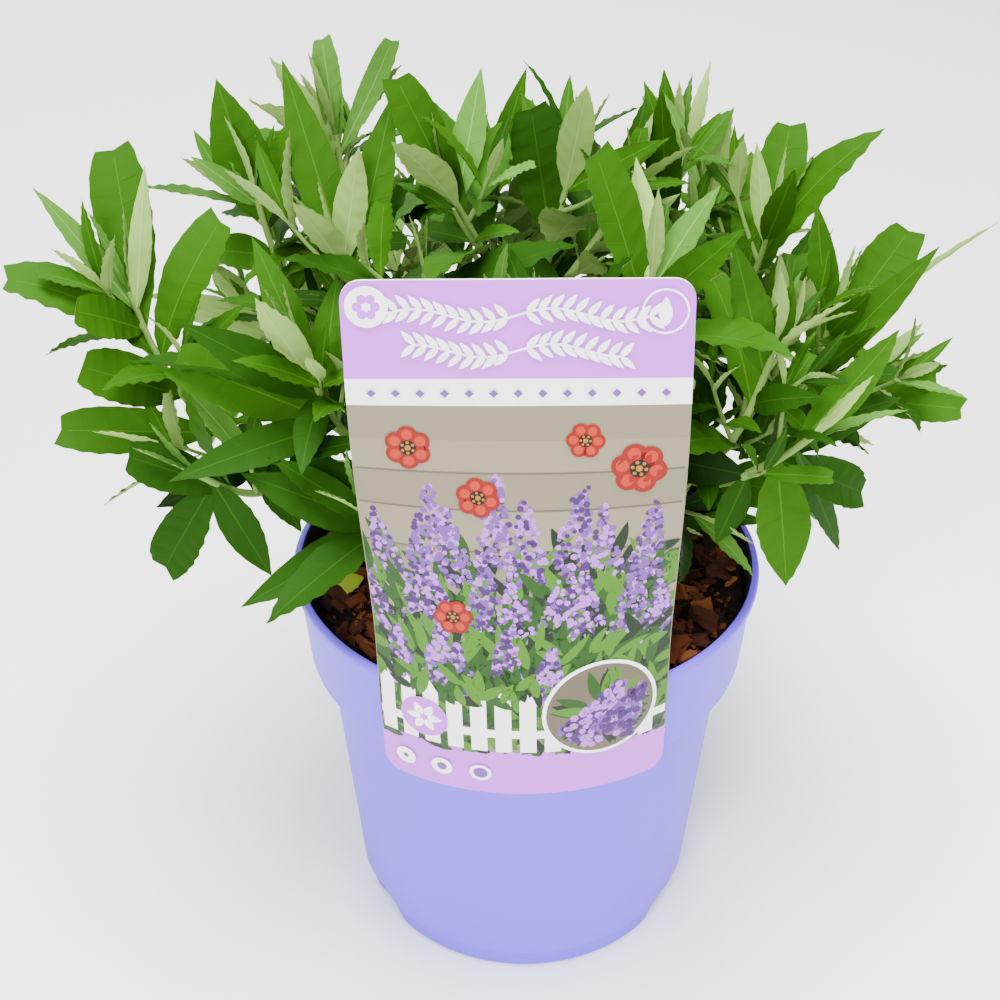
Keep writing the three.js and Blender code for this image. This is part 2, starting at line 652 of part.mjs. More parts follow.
function edgeCuts(from, to, a, b, c) {
  const way = minus(to, from);
  const [ab, ac] = [minus(b, a), minus(c, a)];
  const p = cross(way, ac);
  const size = dot(ab, p);
  if (Math.abs(size) < 1e-12) {
    return false;
  }
  const t = minus(from, a);
  const u = dot(t, p) / size;
  const q = cross(t, ab);
  const v = dot(way, q) / size;
  const w = dot(ac, q) / size;
  return u >= 0 && v >= 0 && u + v <= 1 && w >= 0 && w <= 1;
}

function cuts(one, other) {
  return one.edges.some(([i, j]) =>
    other.faces.some(([a, b, c]) =>
      edgeCuts(one.points[i], one.points[j], other.points[a], other.points[b], other.points[c]),
    ),
  );
}

function meets(one, other) {
  if (one.center.distanceTo(other.center) > one.radius + other.radius) {
    return false;
  }
  return cuts(one, other) || cuts(other, one);
}

// Whether a leaf stays off the pot's wall and above the soil
function offThePot(leaf) {
  for (let i = 1; i <= 12; i += 1) {
    const share = (leaf.kept * i) / 12;
    const [point] = bladeFrame(leaf, share);
    for (const edge of [-1, 0, 1]) {
      const p = along(point, leaf.side, edge * leaf.half * Math.sin(Math.PI * share));
      const out = Math.hypot(p.x, p.y);
      const inside = out < POT.collarTop - POT.wall - POT_CLEARANCE && p.z > SOIL.middle + POT_CLEARANCE;
      if (p.z < RIM + POT_CLEARANCE && out < POT.lipRadius + POT_CLEARANCE && !inside) {
        return false;
      }
    }
  }
  return true;
}

// The plant

function boughLine([, fork, tip], start) {
  const foot = stemAt(fork);
  const end = vector(...tip);
  const reach = foot.distanceTo(end) * BOUGH.springback;
  return curveOf(foot, along(end, start, -reach), end);
}

function plant() {
  const nodes = [];
  const lines = {};
  const occupied = [space('label', '', labelCard()), space('main_stem', '', skin(stemRings(0)))];
  let limbs = solidOf(skin(stemRings(GAP)));
  const pieces = {};
  for (const [name, fork, tip] of MASSES) {
    const [, , , bend, end] = SHOOTS.find((row) => row[1] === name);
    const way = vector(...bend).sub(vector(...tip)).normalize();
    if (fork > 0) {
      const line = boughLine([name, fork, tip], way);
      const geometry = skin(limbRings(line, BOUGH));
      const bough = solidOf(geometry).subtract(limbs);
      nodes.push(meshOf(`bough_${name}`, mainBody(bough), COLOURS.wood));
      occupied.push(space(`bough_${name}`, '', geometry));
      const grown = { ...BOUGH, foot: BOUGH.foot + GAP, tip: BOUGH.tip + GAP };
      limbs = limbs.add(solidOf(skin(limbRings(line, grown))));
    }
    const start = fork > 0 ? along(vector(...tip), way, GAP) : along(STEM_TIP, way, GAP);
    lines[name] = curveOf(start, vector(...bend), vector(...end));
    pieces[name] = [];
  }
  const leaves = [];
  const led = new Set();
  for (const row of SHOOTS) {
    const [shoot, mass, share, bend, tip] = row;
    const first = !led.has(mass);
    led.add(mass);
    const foot = lines[mass].curve.getPoint(share);
    const line = first ? lines[mass] : curveOf(foot, vector(...bend), vector(...tip));
    const geometry = skin(limbRings(line, TWIG, TWIG.endPast));
    pieces[mass].push(geometry);
    occupied.push(space(mass, shoot, geometry));
    leaves.push(...shootLeaves(row, line));
  }
  for (const leaf of [...leaves.filter(({ lead }) => lead), ...leaves.filter(({ lead }) => !lead)]) {
    const grown = space(leaf.mass, leaf.shoot, skin(bladeRings(leaf, SPARE)));
    const kin = (other) => other.shoot === leaf.shoot || (leaf.lead && other.node === leaf.mass);
    if (offThePot(leaf) && !occupied.some((other) => !kin(other) && meets(grown, other))) {
      const geometry = skin(bladeRings(leaf));
      pieces[leaf.mass].push(geometry);
      occupied.push(space(leaf.mass, leaf.shoot, geometry));
    }
  }
  for (const [name] of MASSES) {
    const body = wasm.Manifold.union(pieces[name].map(solidOf));
    nodes.push(meshOf(`foliage_${name}`, mainBody(body), COLOURS.leaf));
  }
  return nodes;
}

const bush = new THREE.Group();
bush.add(meshOf('pot', potSolid(), COLOURS.pot));
bush.add(meshOf('soil', soilSolid(), COLOURS.soil));
bush.add(meshOf('label', solidOf(labelCard()).add(solidOf(labelHook())), COLOURS.label));
bush.add(meshOf('main_stem', solidOf(skin(stemRings(0))), COLOURS.wood));
bush.add(...plant());

export default bush;
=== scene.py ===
import itertools
import math

import bmesh
import bpy
import numpy as np
from mathutils import Matrix, Vector, noise


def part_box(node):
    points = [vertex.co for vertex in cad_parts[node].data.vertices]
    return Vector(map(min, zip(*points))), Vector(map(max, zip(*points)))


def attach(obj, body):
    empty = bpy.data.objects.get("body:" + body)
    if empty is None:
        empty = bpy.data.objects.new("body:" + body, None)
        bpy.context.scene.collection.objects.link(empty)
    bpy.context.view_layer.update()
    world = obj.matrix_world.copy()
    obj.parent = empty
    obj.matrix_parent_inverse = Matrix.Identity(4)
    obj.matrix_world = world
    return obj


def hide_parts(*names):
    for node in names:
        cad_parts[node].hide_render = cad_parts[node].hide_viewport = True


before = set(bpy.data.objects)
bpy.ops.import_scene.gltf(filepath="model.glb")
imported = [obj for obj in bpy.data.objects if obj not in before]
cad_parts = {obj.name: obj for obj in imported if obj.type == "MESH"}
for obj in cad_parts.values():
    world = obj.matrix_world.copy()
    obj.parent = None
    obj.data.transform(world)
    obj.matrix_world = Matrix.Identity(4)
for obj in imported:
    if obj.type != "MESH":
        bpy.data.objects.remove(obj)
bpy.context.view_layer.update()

mm = 0.001
crownMasses = sorted(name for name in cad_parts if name.startswith("foliage_"))
boughNodes = sorted(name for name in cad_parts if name.startswith("bough_"))


# Materials and pieces

def linearColour(code):  # sRGB hex to linear
    parts = [int(code[i:i + 2], 16) / 255 for i in (1, 3, 5)]
    return [p / 12.92 if p <= 0.04045 else ((p + 0.055) / 1.055) ** 2.4 for p in parts] + [1.0]


def addNode(tree, kind, settings=None, links=None):
    node = tree.nodes.new(kind)
    for name, value in (settings or {}).items():
        if isinstance(name, str) and hasattr(node, name):
            setattr(node, name, value)
        else:
            node.inputs[name].default_value = value
    for name, socket in (links or {}).items():
        tree.links.new(socket, node.inputs[name])
    return node


def plainMaterial(name, colour, roughness, **sockets):
    material = bpy.data.materials.new(name)
    material.use_nodes = True
    material.diffuse_color = linearColour(colour)
    shader = material.node_tree.nodes["Principled BSDF"]
    shader.inputs["Base Color"].default_value = linearColour(colour)
    shader.inputs["Roughness"].default_value = roughness
    for socket, value in sockets.items():
        shader.inputs[socket.replace("_", " ")].default_value = value
    return material


def mottle(material, colours, scale, stretch=(1, 1, 1), bump=None, rough=None):
    # Two or three tones of one finish on Object coordinates, with an optional bump and roughness range
    tree = material.node_tree
    shader = tree.nodes["Principled BSDF"]
    where = addNode(tree, "ShaderNodeTexCoord").outputs["Object"]
    placed = addNode(tree, "ShaderNodeMapping", {"Scale": stretch}, {"Vector": where}).outputs["Vector"]
    cloud = addNode(tree, "ShaderNodeTexNoise", {"Scale": scale, "Detail": 4.0, "Roughness": 0.6},
                    {"Vector": placed})
    ramp = addNode(tree, "ShaderNodeValToRGB", links={"Fac": cloud.outputs["Fac"]})
    spots = ramp.color_ramp.elements
    while len(spots) < len(colours):
        spots.new(0.5)
    for i, colour in enumerate(colours):
        spots[i].position = 0.3 + 0.4 * i / (len(colours) - 1)
        spots[i].color = linearColour(colour)
    tree.links.new(ramp.outputs["Color"], shader.inputs["Base Color"])
    if rough:
        spread = addNode(tree, "ShaderNodeMapRange", {"To Min": rough[0], "To Max": rough[1]},
                         {"Value": cloud.outputs["Fac"]})
        tree.links.new(spread.outputs["Result"], shader.inputs["Roughness"])
    if bump:
        grain = addNode(tree, "ShaderNodeTexNoise", {"Scale": bump[0], "Detail": 3.0}, {"Vector": placed})
        relief = addNode(tree, "ShaderNodeBump", {"Strength": bump[1], "Distance": bump[2]},
                         {"Height": grain.outputs["Fac"]})
        tree.links.new(relief.outputs["Normal"], shader.inputs["Normal"])
    return material


def newPiece(name, mesh, materials, slot, nodes=(), smooth=True):
    piece = bpy.data.objects.new(name, mesh)
    bpy.context.scene.collection.objects.link(piece)
    for material in materials:
        mesh.materials.append(material)
    if smooth:
        mesh.shade_smooth()
    if slot:
        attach(piece, "root")
    if nodes:
        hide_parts(*nodes)
    return piece


def meshOf(bm, name):
    mesh = bpy.data.meshes.new(name)
    bm.to_mesh(mesh)
    bm.free()
    return mesh


def arrayMesh(name, points, faces, indices=None):
    mesh = bpy.data.meshes.new(name)
    mesh.from_pydata(np.asarray(points).tolist(), [], [list(face) for face in faces])
    if indices is not None:
        mesh.polygons.foreach_set("material_index", np.asarray(indices, np.int32))
    mesh.update()
    return mesh


def spun(profile, steps, joined):  # a profile of radii and heights in mm, swept round the axis
    bm = bmesh.new()
    dots = [bm.verts.new((r * mm, 0, z * mm)) for r, z in profile]
    wires = [bm.edges.new(pair) for pair in zip(dots, dots[1:])]
    bmesh.ops.spin(bm, geom=dots + wires, cent=(0, 0, 0), axis=(0, 0, 1), angle=2 * math.pi, steps=steps,
                   use_merge=True)
    bmesh.ops.remove_doubles(bm, verts=bm.verts, dist=joined)
    return bm


# Pot

pot = {
    "height": 171, "lipRadius": 95, "lipDepth": 4.5, "collarTop": 93.2, "collarBottom": 90.4,
    "collarDepth": 40.7, "bodyTop": 83.1, "bodyBottom": 73.5, "footTop": 71.4, "footBottom": 70.2,
    "footHeight": 11, "bodyFoot": 12.5, "wall": 1.8, "floor": 2.2, "drainRadius": 5, "drainCircle": 54,
    "drains": 8, "segments": 160, "edge": 0.7, "sharp": 28, "liningFrom": 62,
}
# Bays in the foot: plan angle of the first, half their width in degrees, heights where they run out
bay = {"count": 3, "first": 90, "halfTurn": 12, "depth": 2.4, "full": 7, "top": 20, "from": 62, "steps": 5}
rim = pot["height"]
collarFoot = rim - pot["collarDepth"]


def wallSteps():  # extra points up the wall above the foot, where the bays run out
    heights = np.linspace(pot["bodyFoot"], bay["top"], bay["steps"] + 1)[1:]
    rise = (heights - pot["bodyFoot"]) / (collarFoot - 1 - pot["bodyFoot"])
    return list(zip(pot["bodyBottom"] + (pot["bodyTop"] - pot["bodyBottom"]) * rise, heights))


def pressBays(bm):
    for v in bm.verts:
        out, height = v.co.xy.length / mm, v.co.z / mm
        if out < bay["from"] or height > bay["top"]:
            continue
        turn = math.degrees(math.atan2(v.co.y, v.co.x)) - bay["first"]
        between = 360 / bay["count"]
        away = abs((turn + between / 2) % between - between / 2) / bay["halfTurn"]
        up = min(max((bay["top"] - height) / (bay["top"] - bay["full"]), 0), 1)
        sink = bay["depth"] * max(1 - away * away, 0) ** 2 * up * up * (3 - 2 * up)
        v.co.xy *= (out - sink) / out


def buildPot():
    wall, floor = pot["wall"], pot["floor"]
    profile = [
        (pot["footBottom"] - 1, 0), (pot["footBottom"], 1), (pot["footTop"], pot["footHeight"] - 1),
        (pot["bodyBottom"], pot["bodyFoot"]), *wallSteps(), (pot["bodyTop"], collarFoot - 1),
        (pot["bodyTop"] + 0.8, collarFoot), (pot["collarBottom"] - 1, collarFoot),
        (pot["collarBottom"], collarFoot + 1), (pot["collarTop"], rim - pot["lipDepth"]),
        (pot["lipRadius"], rim - pot["lipDepth"] + 0.8), (pot["lipRadius"], rim - 1.2),
        (pot["lipRadius"] - 1, rim), (pot["collarTop"] - 1, rim), (pot["collarTop"] - wall, rim - 1),
        (pot["collarBottom"] - wall, collarFoot + wall), (pot["bodyTop"] - wall, collarFoot - 1),
        (pot["bodyBottom"] - wall + 0.2, pot["footHeight"] + 4), (pot["footTop"] - wall, pot["footHeight"]),
        (pot["footBottom"] - wall, floor + 1), (pot["footBottom"] - wall - 2, floor),
    ]
    bm = spun(profile, pot["segments"], 1e-6)
    for level, outer in ((0, profile[0][0]), (floor, profile[-1][0])):
        loops = [e for e in bm.edges if e.is_boundary and abs(e.verts[0].co.z - level * mm) < 1e-6
                 and abs(e.verts[0].co.xy.length - outer * mm) < 1e-5]
        for i in range(pot["drains"]):
            turn = 2 * math.pi * i / pot["drains"]
            spot = Matrix.Translation((pot["drainCircle"] * mm * math.cos(turn),
                                       pot["drainCircle"] * mm * math.sin(turn), level * mm))
            hole = bmesh.ops.create_circle(bm, segments=24, radius=pot["drainRadius"] * mm, matrix=spot)
            loops += list({e for v in hole["verts"] for e in v.link_edges})
        bmesh.ops.triangle_fill(bm, use_beauty=True, edges=loops)
    bridgeHoles(bm, [e for e in bm.edges if e.is_boundary])
    bmesh.ops.recalc_face_normals(bm, faces=bm.faces)
    sharpTurn = math.radians(pot["sharp"])
    sharp = [e for e in bm.edges if len(e.link_faces) == 2 and e.calc_face_angle(0) > sharpTurn
             and abs(e.verts[0].co.z - e.verts[1].co.z) < 1e-6
             and e.verts[0].co.xy.length > pot["liningFrom"] * mm]
    bmesh.ops.bevel(bm, geom=sharp, offset=pot["edge"] * mm, affect="EDGES", segments=3, profile=0.5,
                    material=-1, offset_type="OFFSET", clamp_overlap=True)
    pressBays(bm)
    bmesh.ops.recalc_face_normals(bm, faces=bm.faces)
    for face in bm.faces:
        middle = face.calc_center_median()
        inward = middle.xy.dot(face.normal.xy) < -0.5 * middle.xy.length
        face.material_index = int(inward and middle.xy.length > pot["liningFrom"] * mm)
    return meshOf(bm, "pot_shell")


def bridgeHoles(bm, edges):  # joins each hole's two rims by its wall
    for i in range(pot["drains"]):
        turn = 2 * math.pi * i / pot["drains"]
        spot = Vector((math.cos(turn), math.sin(turn))) * pot["drainCircle"] * mm
        pair = [e for e in edges if (e.verts[0].co.xy - spot).length < pot["drainRadius"] * 1.1 * mm]
        bmesh.ops.bridge_loops(bm, edges=pair)


# Moulded polypropylene: a satin skin with a very fine grain, a little uneven where it cooled
potPlastic = plainMaterial("moulded_polypropylene", "#684AEE", 0.5, IOR=1.49, Specular_IOR_Level=0.3)
mottle(potPlastic, ["#6547ED", "#6B4DEF"], 14, bump=(1400, 0.05, 0.0002), rough=(0.42, 0.5))
# The pot's inner layer: recycled black polypropylene, a little dusty
potLining = plainMaterial("black_inner_layer", "#121014", 0.6, IOR=1.49, Specular_IOR_Level=0.3)
mottle(potLining, ["#0E0C10", "#1A181C"], 40, bump=(1400, 0.05, 0.0002), rough=(0.5, 0.7))
newPiece("pot_shell", buildPot(), [potPlastic, potLining], "pot_plastic", ["pot"])
print("pot: spun shell with drain holes")


# Soil: a dark mix in the pot with bark chips on it

soil = {
    "middle": 158.5, "edge": 156.5, "radius": 88.9, "rings": 34, "steps": 110, "relief": 2.3, "grain": 9,
    "heap": 3.2, "heapFrom": 0.72, "heapOver": 0.2,
}
chips = {
    "seed": 5, "count": 620, "reach": 86, "clear": 9.5, "long": (5, 20), "longBias": (1.3, 2.6),
    "wide": (0.2, 0.62), "thick": (0.14, 0.36), "thickLeast": 0.8, "tilt": 38, "pile": 2.2, "rise": 0.35,
    "kinds": 9, "rough": 0.13, "pinch": 0.35, "crumbs": 1500, "crumbLong": (1.5, 4),
    "tones": {"#522612": 0.36, "#36180C": 0.3, "#6C3C1D": 0.16, "#1A0C07": 0.18},  # with the share of each
}


def soilHeight(x, y):
    out = math.hypot(x, y) / soil["radius"]
    level = soil["middle"] + (soil["edge"] - soil["middle"]) * out * out
    level += soil["heap"] * min(max(out - soil["heapFrom"], 0) / soil["heapOver"], 1)
    spot = Vector((x / soil["grain"], y / soil["grain"], 3.1))
    return level + soil["relief"] * noise.fractal(spot, 0.8, 2.0, 4)


def buildSoil():
    bm = spun([(r, 0) for r in np.linspace(0, soil["radius"], soil["rings"] + 1)], soil["steps"], 1e-5)
    for v in bm.verts:
        v.co.z = soilHeight(v.co.x / mm, v.co.y / mm) * mm
    border = [e for e in bm.edges if e.is_boundary]
    inset = pot["wall"] + 0.3
    side = [
        (pot["collarBottom"] - inset, collarFoot + pot["wall"] + 0.5),
        (pot["bodyTop"] - inset, collarFoot - 0.6), (pot["bodyBottom"] - inset, bay["top"]),
        (pot["footTop"] - inset - bay["depth"], pot["bodyFoot"]),
        (pot["footBottom"] - inset - 2 - bay["depth"], pot["floor"] + 0.3),
    ]
    for radius, height in side:
        grown = bmesh.ops.extrude_edge_only(bm, edges=border)["geom"]
        border = [g for g in grown if isinstance(g, bmesh.types.BMEdge)]
        for v in {v for e in border for v in e.verts}:
            v.co = (*(v.co.xy.normalized() * radius * mm), height * mm)
    bmesh.ops.contextual_create(bm, geom=border)
    bmesh.ops.recalc_face_normals(bm, faces=bm.faces)
    return meshOf(bm, "soil_mix")


def chipShapes(kinds, draw):  # a few splinters of bark, each cut from a block, as points and faces
    shapes = []
    for _ in range(kinds):
        bm = bmesh.new()
        bmesh.ops.create_cube(bm, size=1)
        bmesh.ops.subdivide_edges(bm, edges=bm.edges, cuts=1, use_grid_fill=True)
        for v in bm.verts:
            v.co += Vector(draw.uniform(-chips["rough"], chips["rough"], 3))
            v.co.x *= 1 - chips["pinch"] * abs(v.co.y)
        corners = np.array([v.co[:] for v in bm.verts])
        shapes.append((corners, [[v.index for v in face.verts] for face in bm.faces]))
        bm.free()
    return shapes


def buildChips():
    draw = np.random.default_rng(chips["seed"])
    shapes = chipShapes(chips["kinds"], draw)
    clear, reach, tilt, (short, long) = (chips[key] for key in ("clear", "reach", "tilt", "long"))
    points, faces, tones = [], [], []
    total = 0
    for i in range(chips["count"] + chips["crumbs"]):
        crumb = i >= chips["count"]
        out = math.sqrt(draw.uniform((clear / reach) ** 2, 1)) * reach
        turn = draw.uniform(0, 2 * math.pi)
        length = (draw.uniform(*chips["crumbLong"]) if crumb
                  else short + (long - short) * draw.beta(*chips["longBias"]))
        width = length * draw.uniform(*chips["wide"])
        thick = max(chips["thickLeast"], length * draw.uniform(*chips["thick"]))
        out = min(out, reach + 2 - length / 2)
        if out < clear + length / 2:
            continue
        x, y = out * math.cos(turn), out * math.sin(turn)
        spin = (Matrix.Rotation(draw.uniform(0, 2 * math.pi), 3, "Z")
                @ Matrix.Rotation(math.radians(draw.uniform(-tilt, tilt)), 3, "X")
                @ Matrix.Rotation(math.radians(draw.uniform(-tilt, tilt)), 3, "Y"))
        shape, sides = shapes[draw.integers(len(shapes))]
        lift = soilHeight(x, y) + thick * chips["rise"] + (0 if crumb else draw.uniform(0, chips["pile"]))
        points.append((shape * [length, width, thick]) @ np.array(spin).T + [x, y, lift])
        faces += [[total + k for k in side] for side in sides]
        tones += [int(draw.choice(len(chips["tones"]), p=list(chips["tones"].values())))] * len(sides)
        total += len(shape)
    return arrayMesh("bark_chips", np.concatenate(points) * mm, faces, tones)


# Composted bark and fibre: nearly black where it is moist, with a rough crumb
soilMix = mottle(plainMaterial("composted_bark", "#0C0604", 0.95, Specular_IOR_Level=0.15),
                 ["#050302", "#0F0805", "#1E0F08"], 160, bump=(500, 0.6, 0.0015))
# Torn pine bark: dull red-brown, darker where it is wet
chipTones = [plainMaterial(f"bark_chip_{i}", tone, 0.85, Specular_IOR_Level=0.2)
             for i, tone in enumerate(chips["tones"])]
newPiece("soil_mix", buildSoil(), [soilMix], "bark_mix", ["soil"])
newPiece("bark_chips", buildChips(), chipTones, "bark_mix", smooth=False)
print("soil: mix and bark chips")


# Label: card, hook and print

label = {
    "width": 113, "above": 160.5, "below": 46.7, "thick": 0.8, "corner": 7, "topBack": 77.3, "flatAt": 0.85,
    "taper": 0.09, "straight": (-9, 4), "slack": 0.2, "turn": -1.6, "roll": 1.15, "cuts": (-54, 4.5),
    "rows": (-44, 6), "gap": 0.3,
}
hook = {"width": 38, "rise": 3, "foot": 160.6, "steps": 16}
hug = pot["lipRadius"] + label["gap"] + label["slack"] + label["thick"] / 2


def onLabel(across, height, offset):  # arrays in mm on the flat card, to points in metres
    roll = math.radians(label["roll"])
    u = across * math.cos(roll) - height * math.sin(roll)
    v = across * math.sin(roll) + height * math.cos(roll)
    low, high = label["straight"]
    below = np.maximum(0, low - v)
    rise = np.maximum(0, (v - high) / (label["above"] - high))
    ease = np.minimum(rise / label["flatAt"], 1)
    curl = np.maximum((1 - ease * ease * (3 - 2 * ease)) / (hug - label["taper"] * below), 1e-6)
    x = np.sin(u * curl) / curl + offset * np.sin(u * curl)
    y = (-(hug - label["taper"] * below) + (hug - label["topBack"]) * rise
         + (1 - np.cos(u * curl)) / curl - offset * np.cos(u * curl))
    turn = math.radians(label["turn"])
    points = [x * math.cos(turn) - y * math.sin(turn), x * math.sin(turn) + y * math.cos(turn), rim + v]
    return np.stack(points, axis=-1) * mm


def everything(bm):
    return bm.verts[:] + bm.edges[:] + bm.faces[:]


def sliced(bm, extra=()):  # cuts a flat sheet along a grid of lines, so that it can bend
    (first, across), (low, up) = label["cuts"], label["rows"]
    planes = [((line, 0, 0), (1, 0, 0)) for line in np.arange(first, label["width"] / 2 - 1.5, across)]
    levels = sorted(set(np.arange(low, label["above"] - 0.5, up)) | set(extra))
    planes += [((0, level, 0), (0, 1, 0)) for level in levels]
    for spot, normal in planes:
        bmesh.ops.bisect_plane(bm, geom=everything(bm), dist=1e-5, plane_co=spot, plane_no=normal)


def laid(bm, offset):  # bends a sliced flat sheet; between two cuts it stays straight
    flat = np.array([v.co[:] for v in bm.verts])
    lows, shares = [], []
    for axis, (first, step) in enumerate((label["cuts"], label["rows"])):
        lows.append(first + np.floor((flat[:, axis] - first) / step) * step)
        shares.append(((flat[:, axis] - lows[-1]) / step)[:, None])
    points = 0
    for i, j in ((0, 0), (1, 0), (0, 1), (1, 1)):
        u, v = lows[0] + i * label["cuts"][1], lows[1] + j * label["rows"][1]
        corner = onLabel(u, v, offset + flat[:, 2])
        weight = np.where(i, shares[0], 1 - shares[0]) * np.where(j, shares[1], 1 - shares[1])
        points = points + corner * weight
    for v, point in zip(bm.verts, points):
        v.co = point


cardTones = {
    "ink_lilac": "#C45CEA", "ink_white": "#FAFAFA", "ink_stone": "#79725C", "ink_sand": "#837B66",
    "back": "#EDEBEA",
}
boards = [-24, -6, 11, 29, 45, 63, 79, 93, 105]  # foot of each grey board on the card
bands = [(-60, "ink_lilac"), (117.5, "ink_white"), (127, "ink_lilac")]
bands += [(foot, ("ink_stone", "ink_sand")[i % 2]) for i, foot in enumerate(boards)]


def buildCard():
    bm = bmesh.new()
    half = label["width"] / 2
    corners = box(-half, half, -label["below"], label["above"])
    bm.faces.new([bm.verts.new((u, v, 0)) for u, v in corners])
    bmesh.ops.bevel(bm, geom=bm.verts[:], offset=label["corner"], affect="VERTICES", segments=6,
                    profile=0.5, material=-1, offset_type="OFFSET")
    sliced(bm, [foot for foot, _ in bands[1:]])
    tones = list(cardTones)
    for face in bm.faces:
        middle = face.calc_center_median().y
        face.material_index = tones.index(max(band for band in bands if band[0] <= middle)[1])
    back = bmesh.ops.duplicate(bm, geom=everything(bm))["geom"]
    rear = [g for g in back if isinstance(g, bmesh.types.BMFace)]
    for v in {v for face in rear for v in face.verts}:
        v.co.z = -label["thick"]
    bmesh.ops.reverse_faces(bm, faces=rear)
    bmesh.ops.bridge_loops(bm, edges=[e for e in bm.edges if e.is_boundary])
    for face in rear + [face for face in bm.faces if abs(face.normal.z) < 0.5]:
        face.material_index = tones.index("back")
    laid(bm, label["thick"] / 2)
    bmesh.ops.recalc_face_normals(bm, faces=bm.faces)
    return meshOf(bm, "label_card")


def buildHook():
    t, foot, crest = label["thick"], hook["foot"], rim + label["gap"]
    inner = pot["collarTop"] - pot["wall"] - label["gap"]
    profile = [
        (hug - 0.1, crest), (hug - 0.1, crest + hook["rise"]), (hug - 1.2, crest + t),
        (inner - t, crest + t), (inner - t - 1, foot), (inner - 1, foot), (inner, rim - 1),
        (inner + 0.8, crest),
    ]
    half = hook["width"] / 2 / hug
    bm = bmesh.new()
    face = bm.faces.new([bm.verts.new((r * mm, 0, z * mm)) for r, z in profile])
    start = math.radians(label["turn"] - 90) - half
    bmesh.ops.rotate(bm, verts=bm.verts, cent=(0, 0, 0), matrix=Matrix.Rotation(start, 3, "Z"))
    bmesh.ops.spin(bm, geom=[face] + face.verts[:] + face.edges[:], cent=(0, 0, 0), axis=(0, 0, 1),
                   angle=2 * half, steps=hook["steps"])
    bmesh.ops.recalc_face_normals(bm, faces=bm.faces)
    return meshOf(bm, "label_hook")


def leafOutline(u, v, length, width, turn, bend=0.0, steps=7):  # a lance-shaped print, root at u, v
    left, right = [], []
    for i in range(steps + 1):
        share = i / steps
        way = turn + bend * share
        if i:
            u, v = u + length / steps * math.cos(way), v + length / steps * math.sin(way)
        half = width / 2 * math.sin(math.pi * min(share ** 0.8, 1)) ** 0.8 if 0 < i < steps else 0.05
        left.append((u - half * math.sin(way), v + half * math.cos(way)))
        right.append((u + half * math.sin(way), v - half * math.cos(way)))
    return [[left[i], right[i], right[i + 1], left[i + 1]] for i in range(steps)]


def spots(u, v, radius, sides, start=0.0):  # evenly spaced round u, v
    turns = [start + 2 * math.pi * i / sides for i in range(sides)]
    return [(u + radius * math.cos(t), v + radius * math.sin(t)) for t in turns]


def disc(u, v, radius, sides, start=0.0):
    return [spots(u, v, radius, sides, start)]


def box(left, right, low, high):
    return [(left, low), (right, low), (right, high), (left, high)]


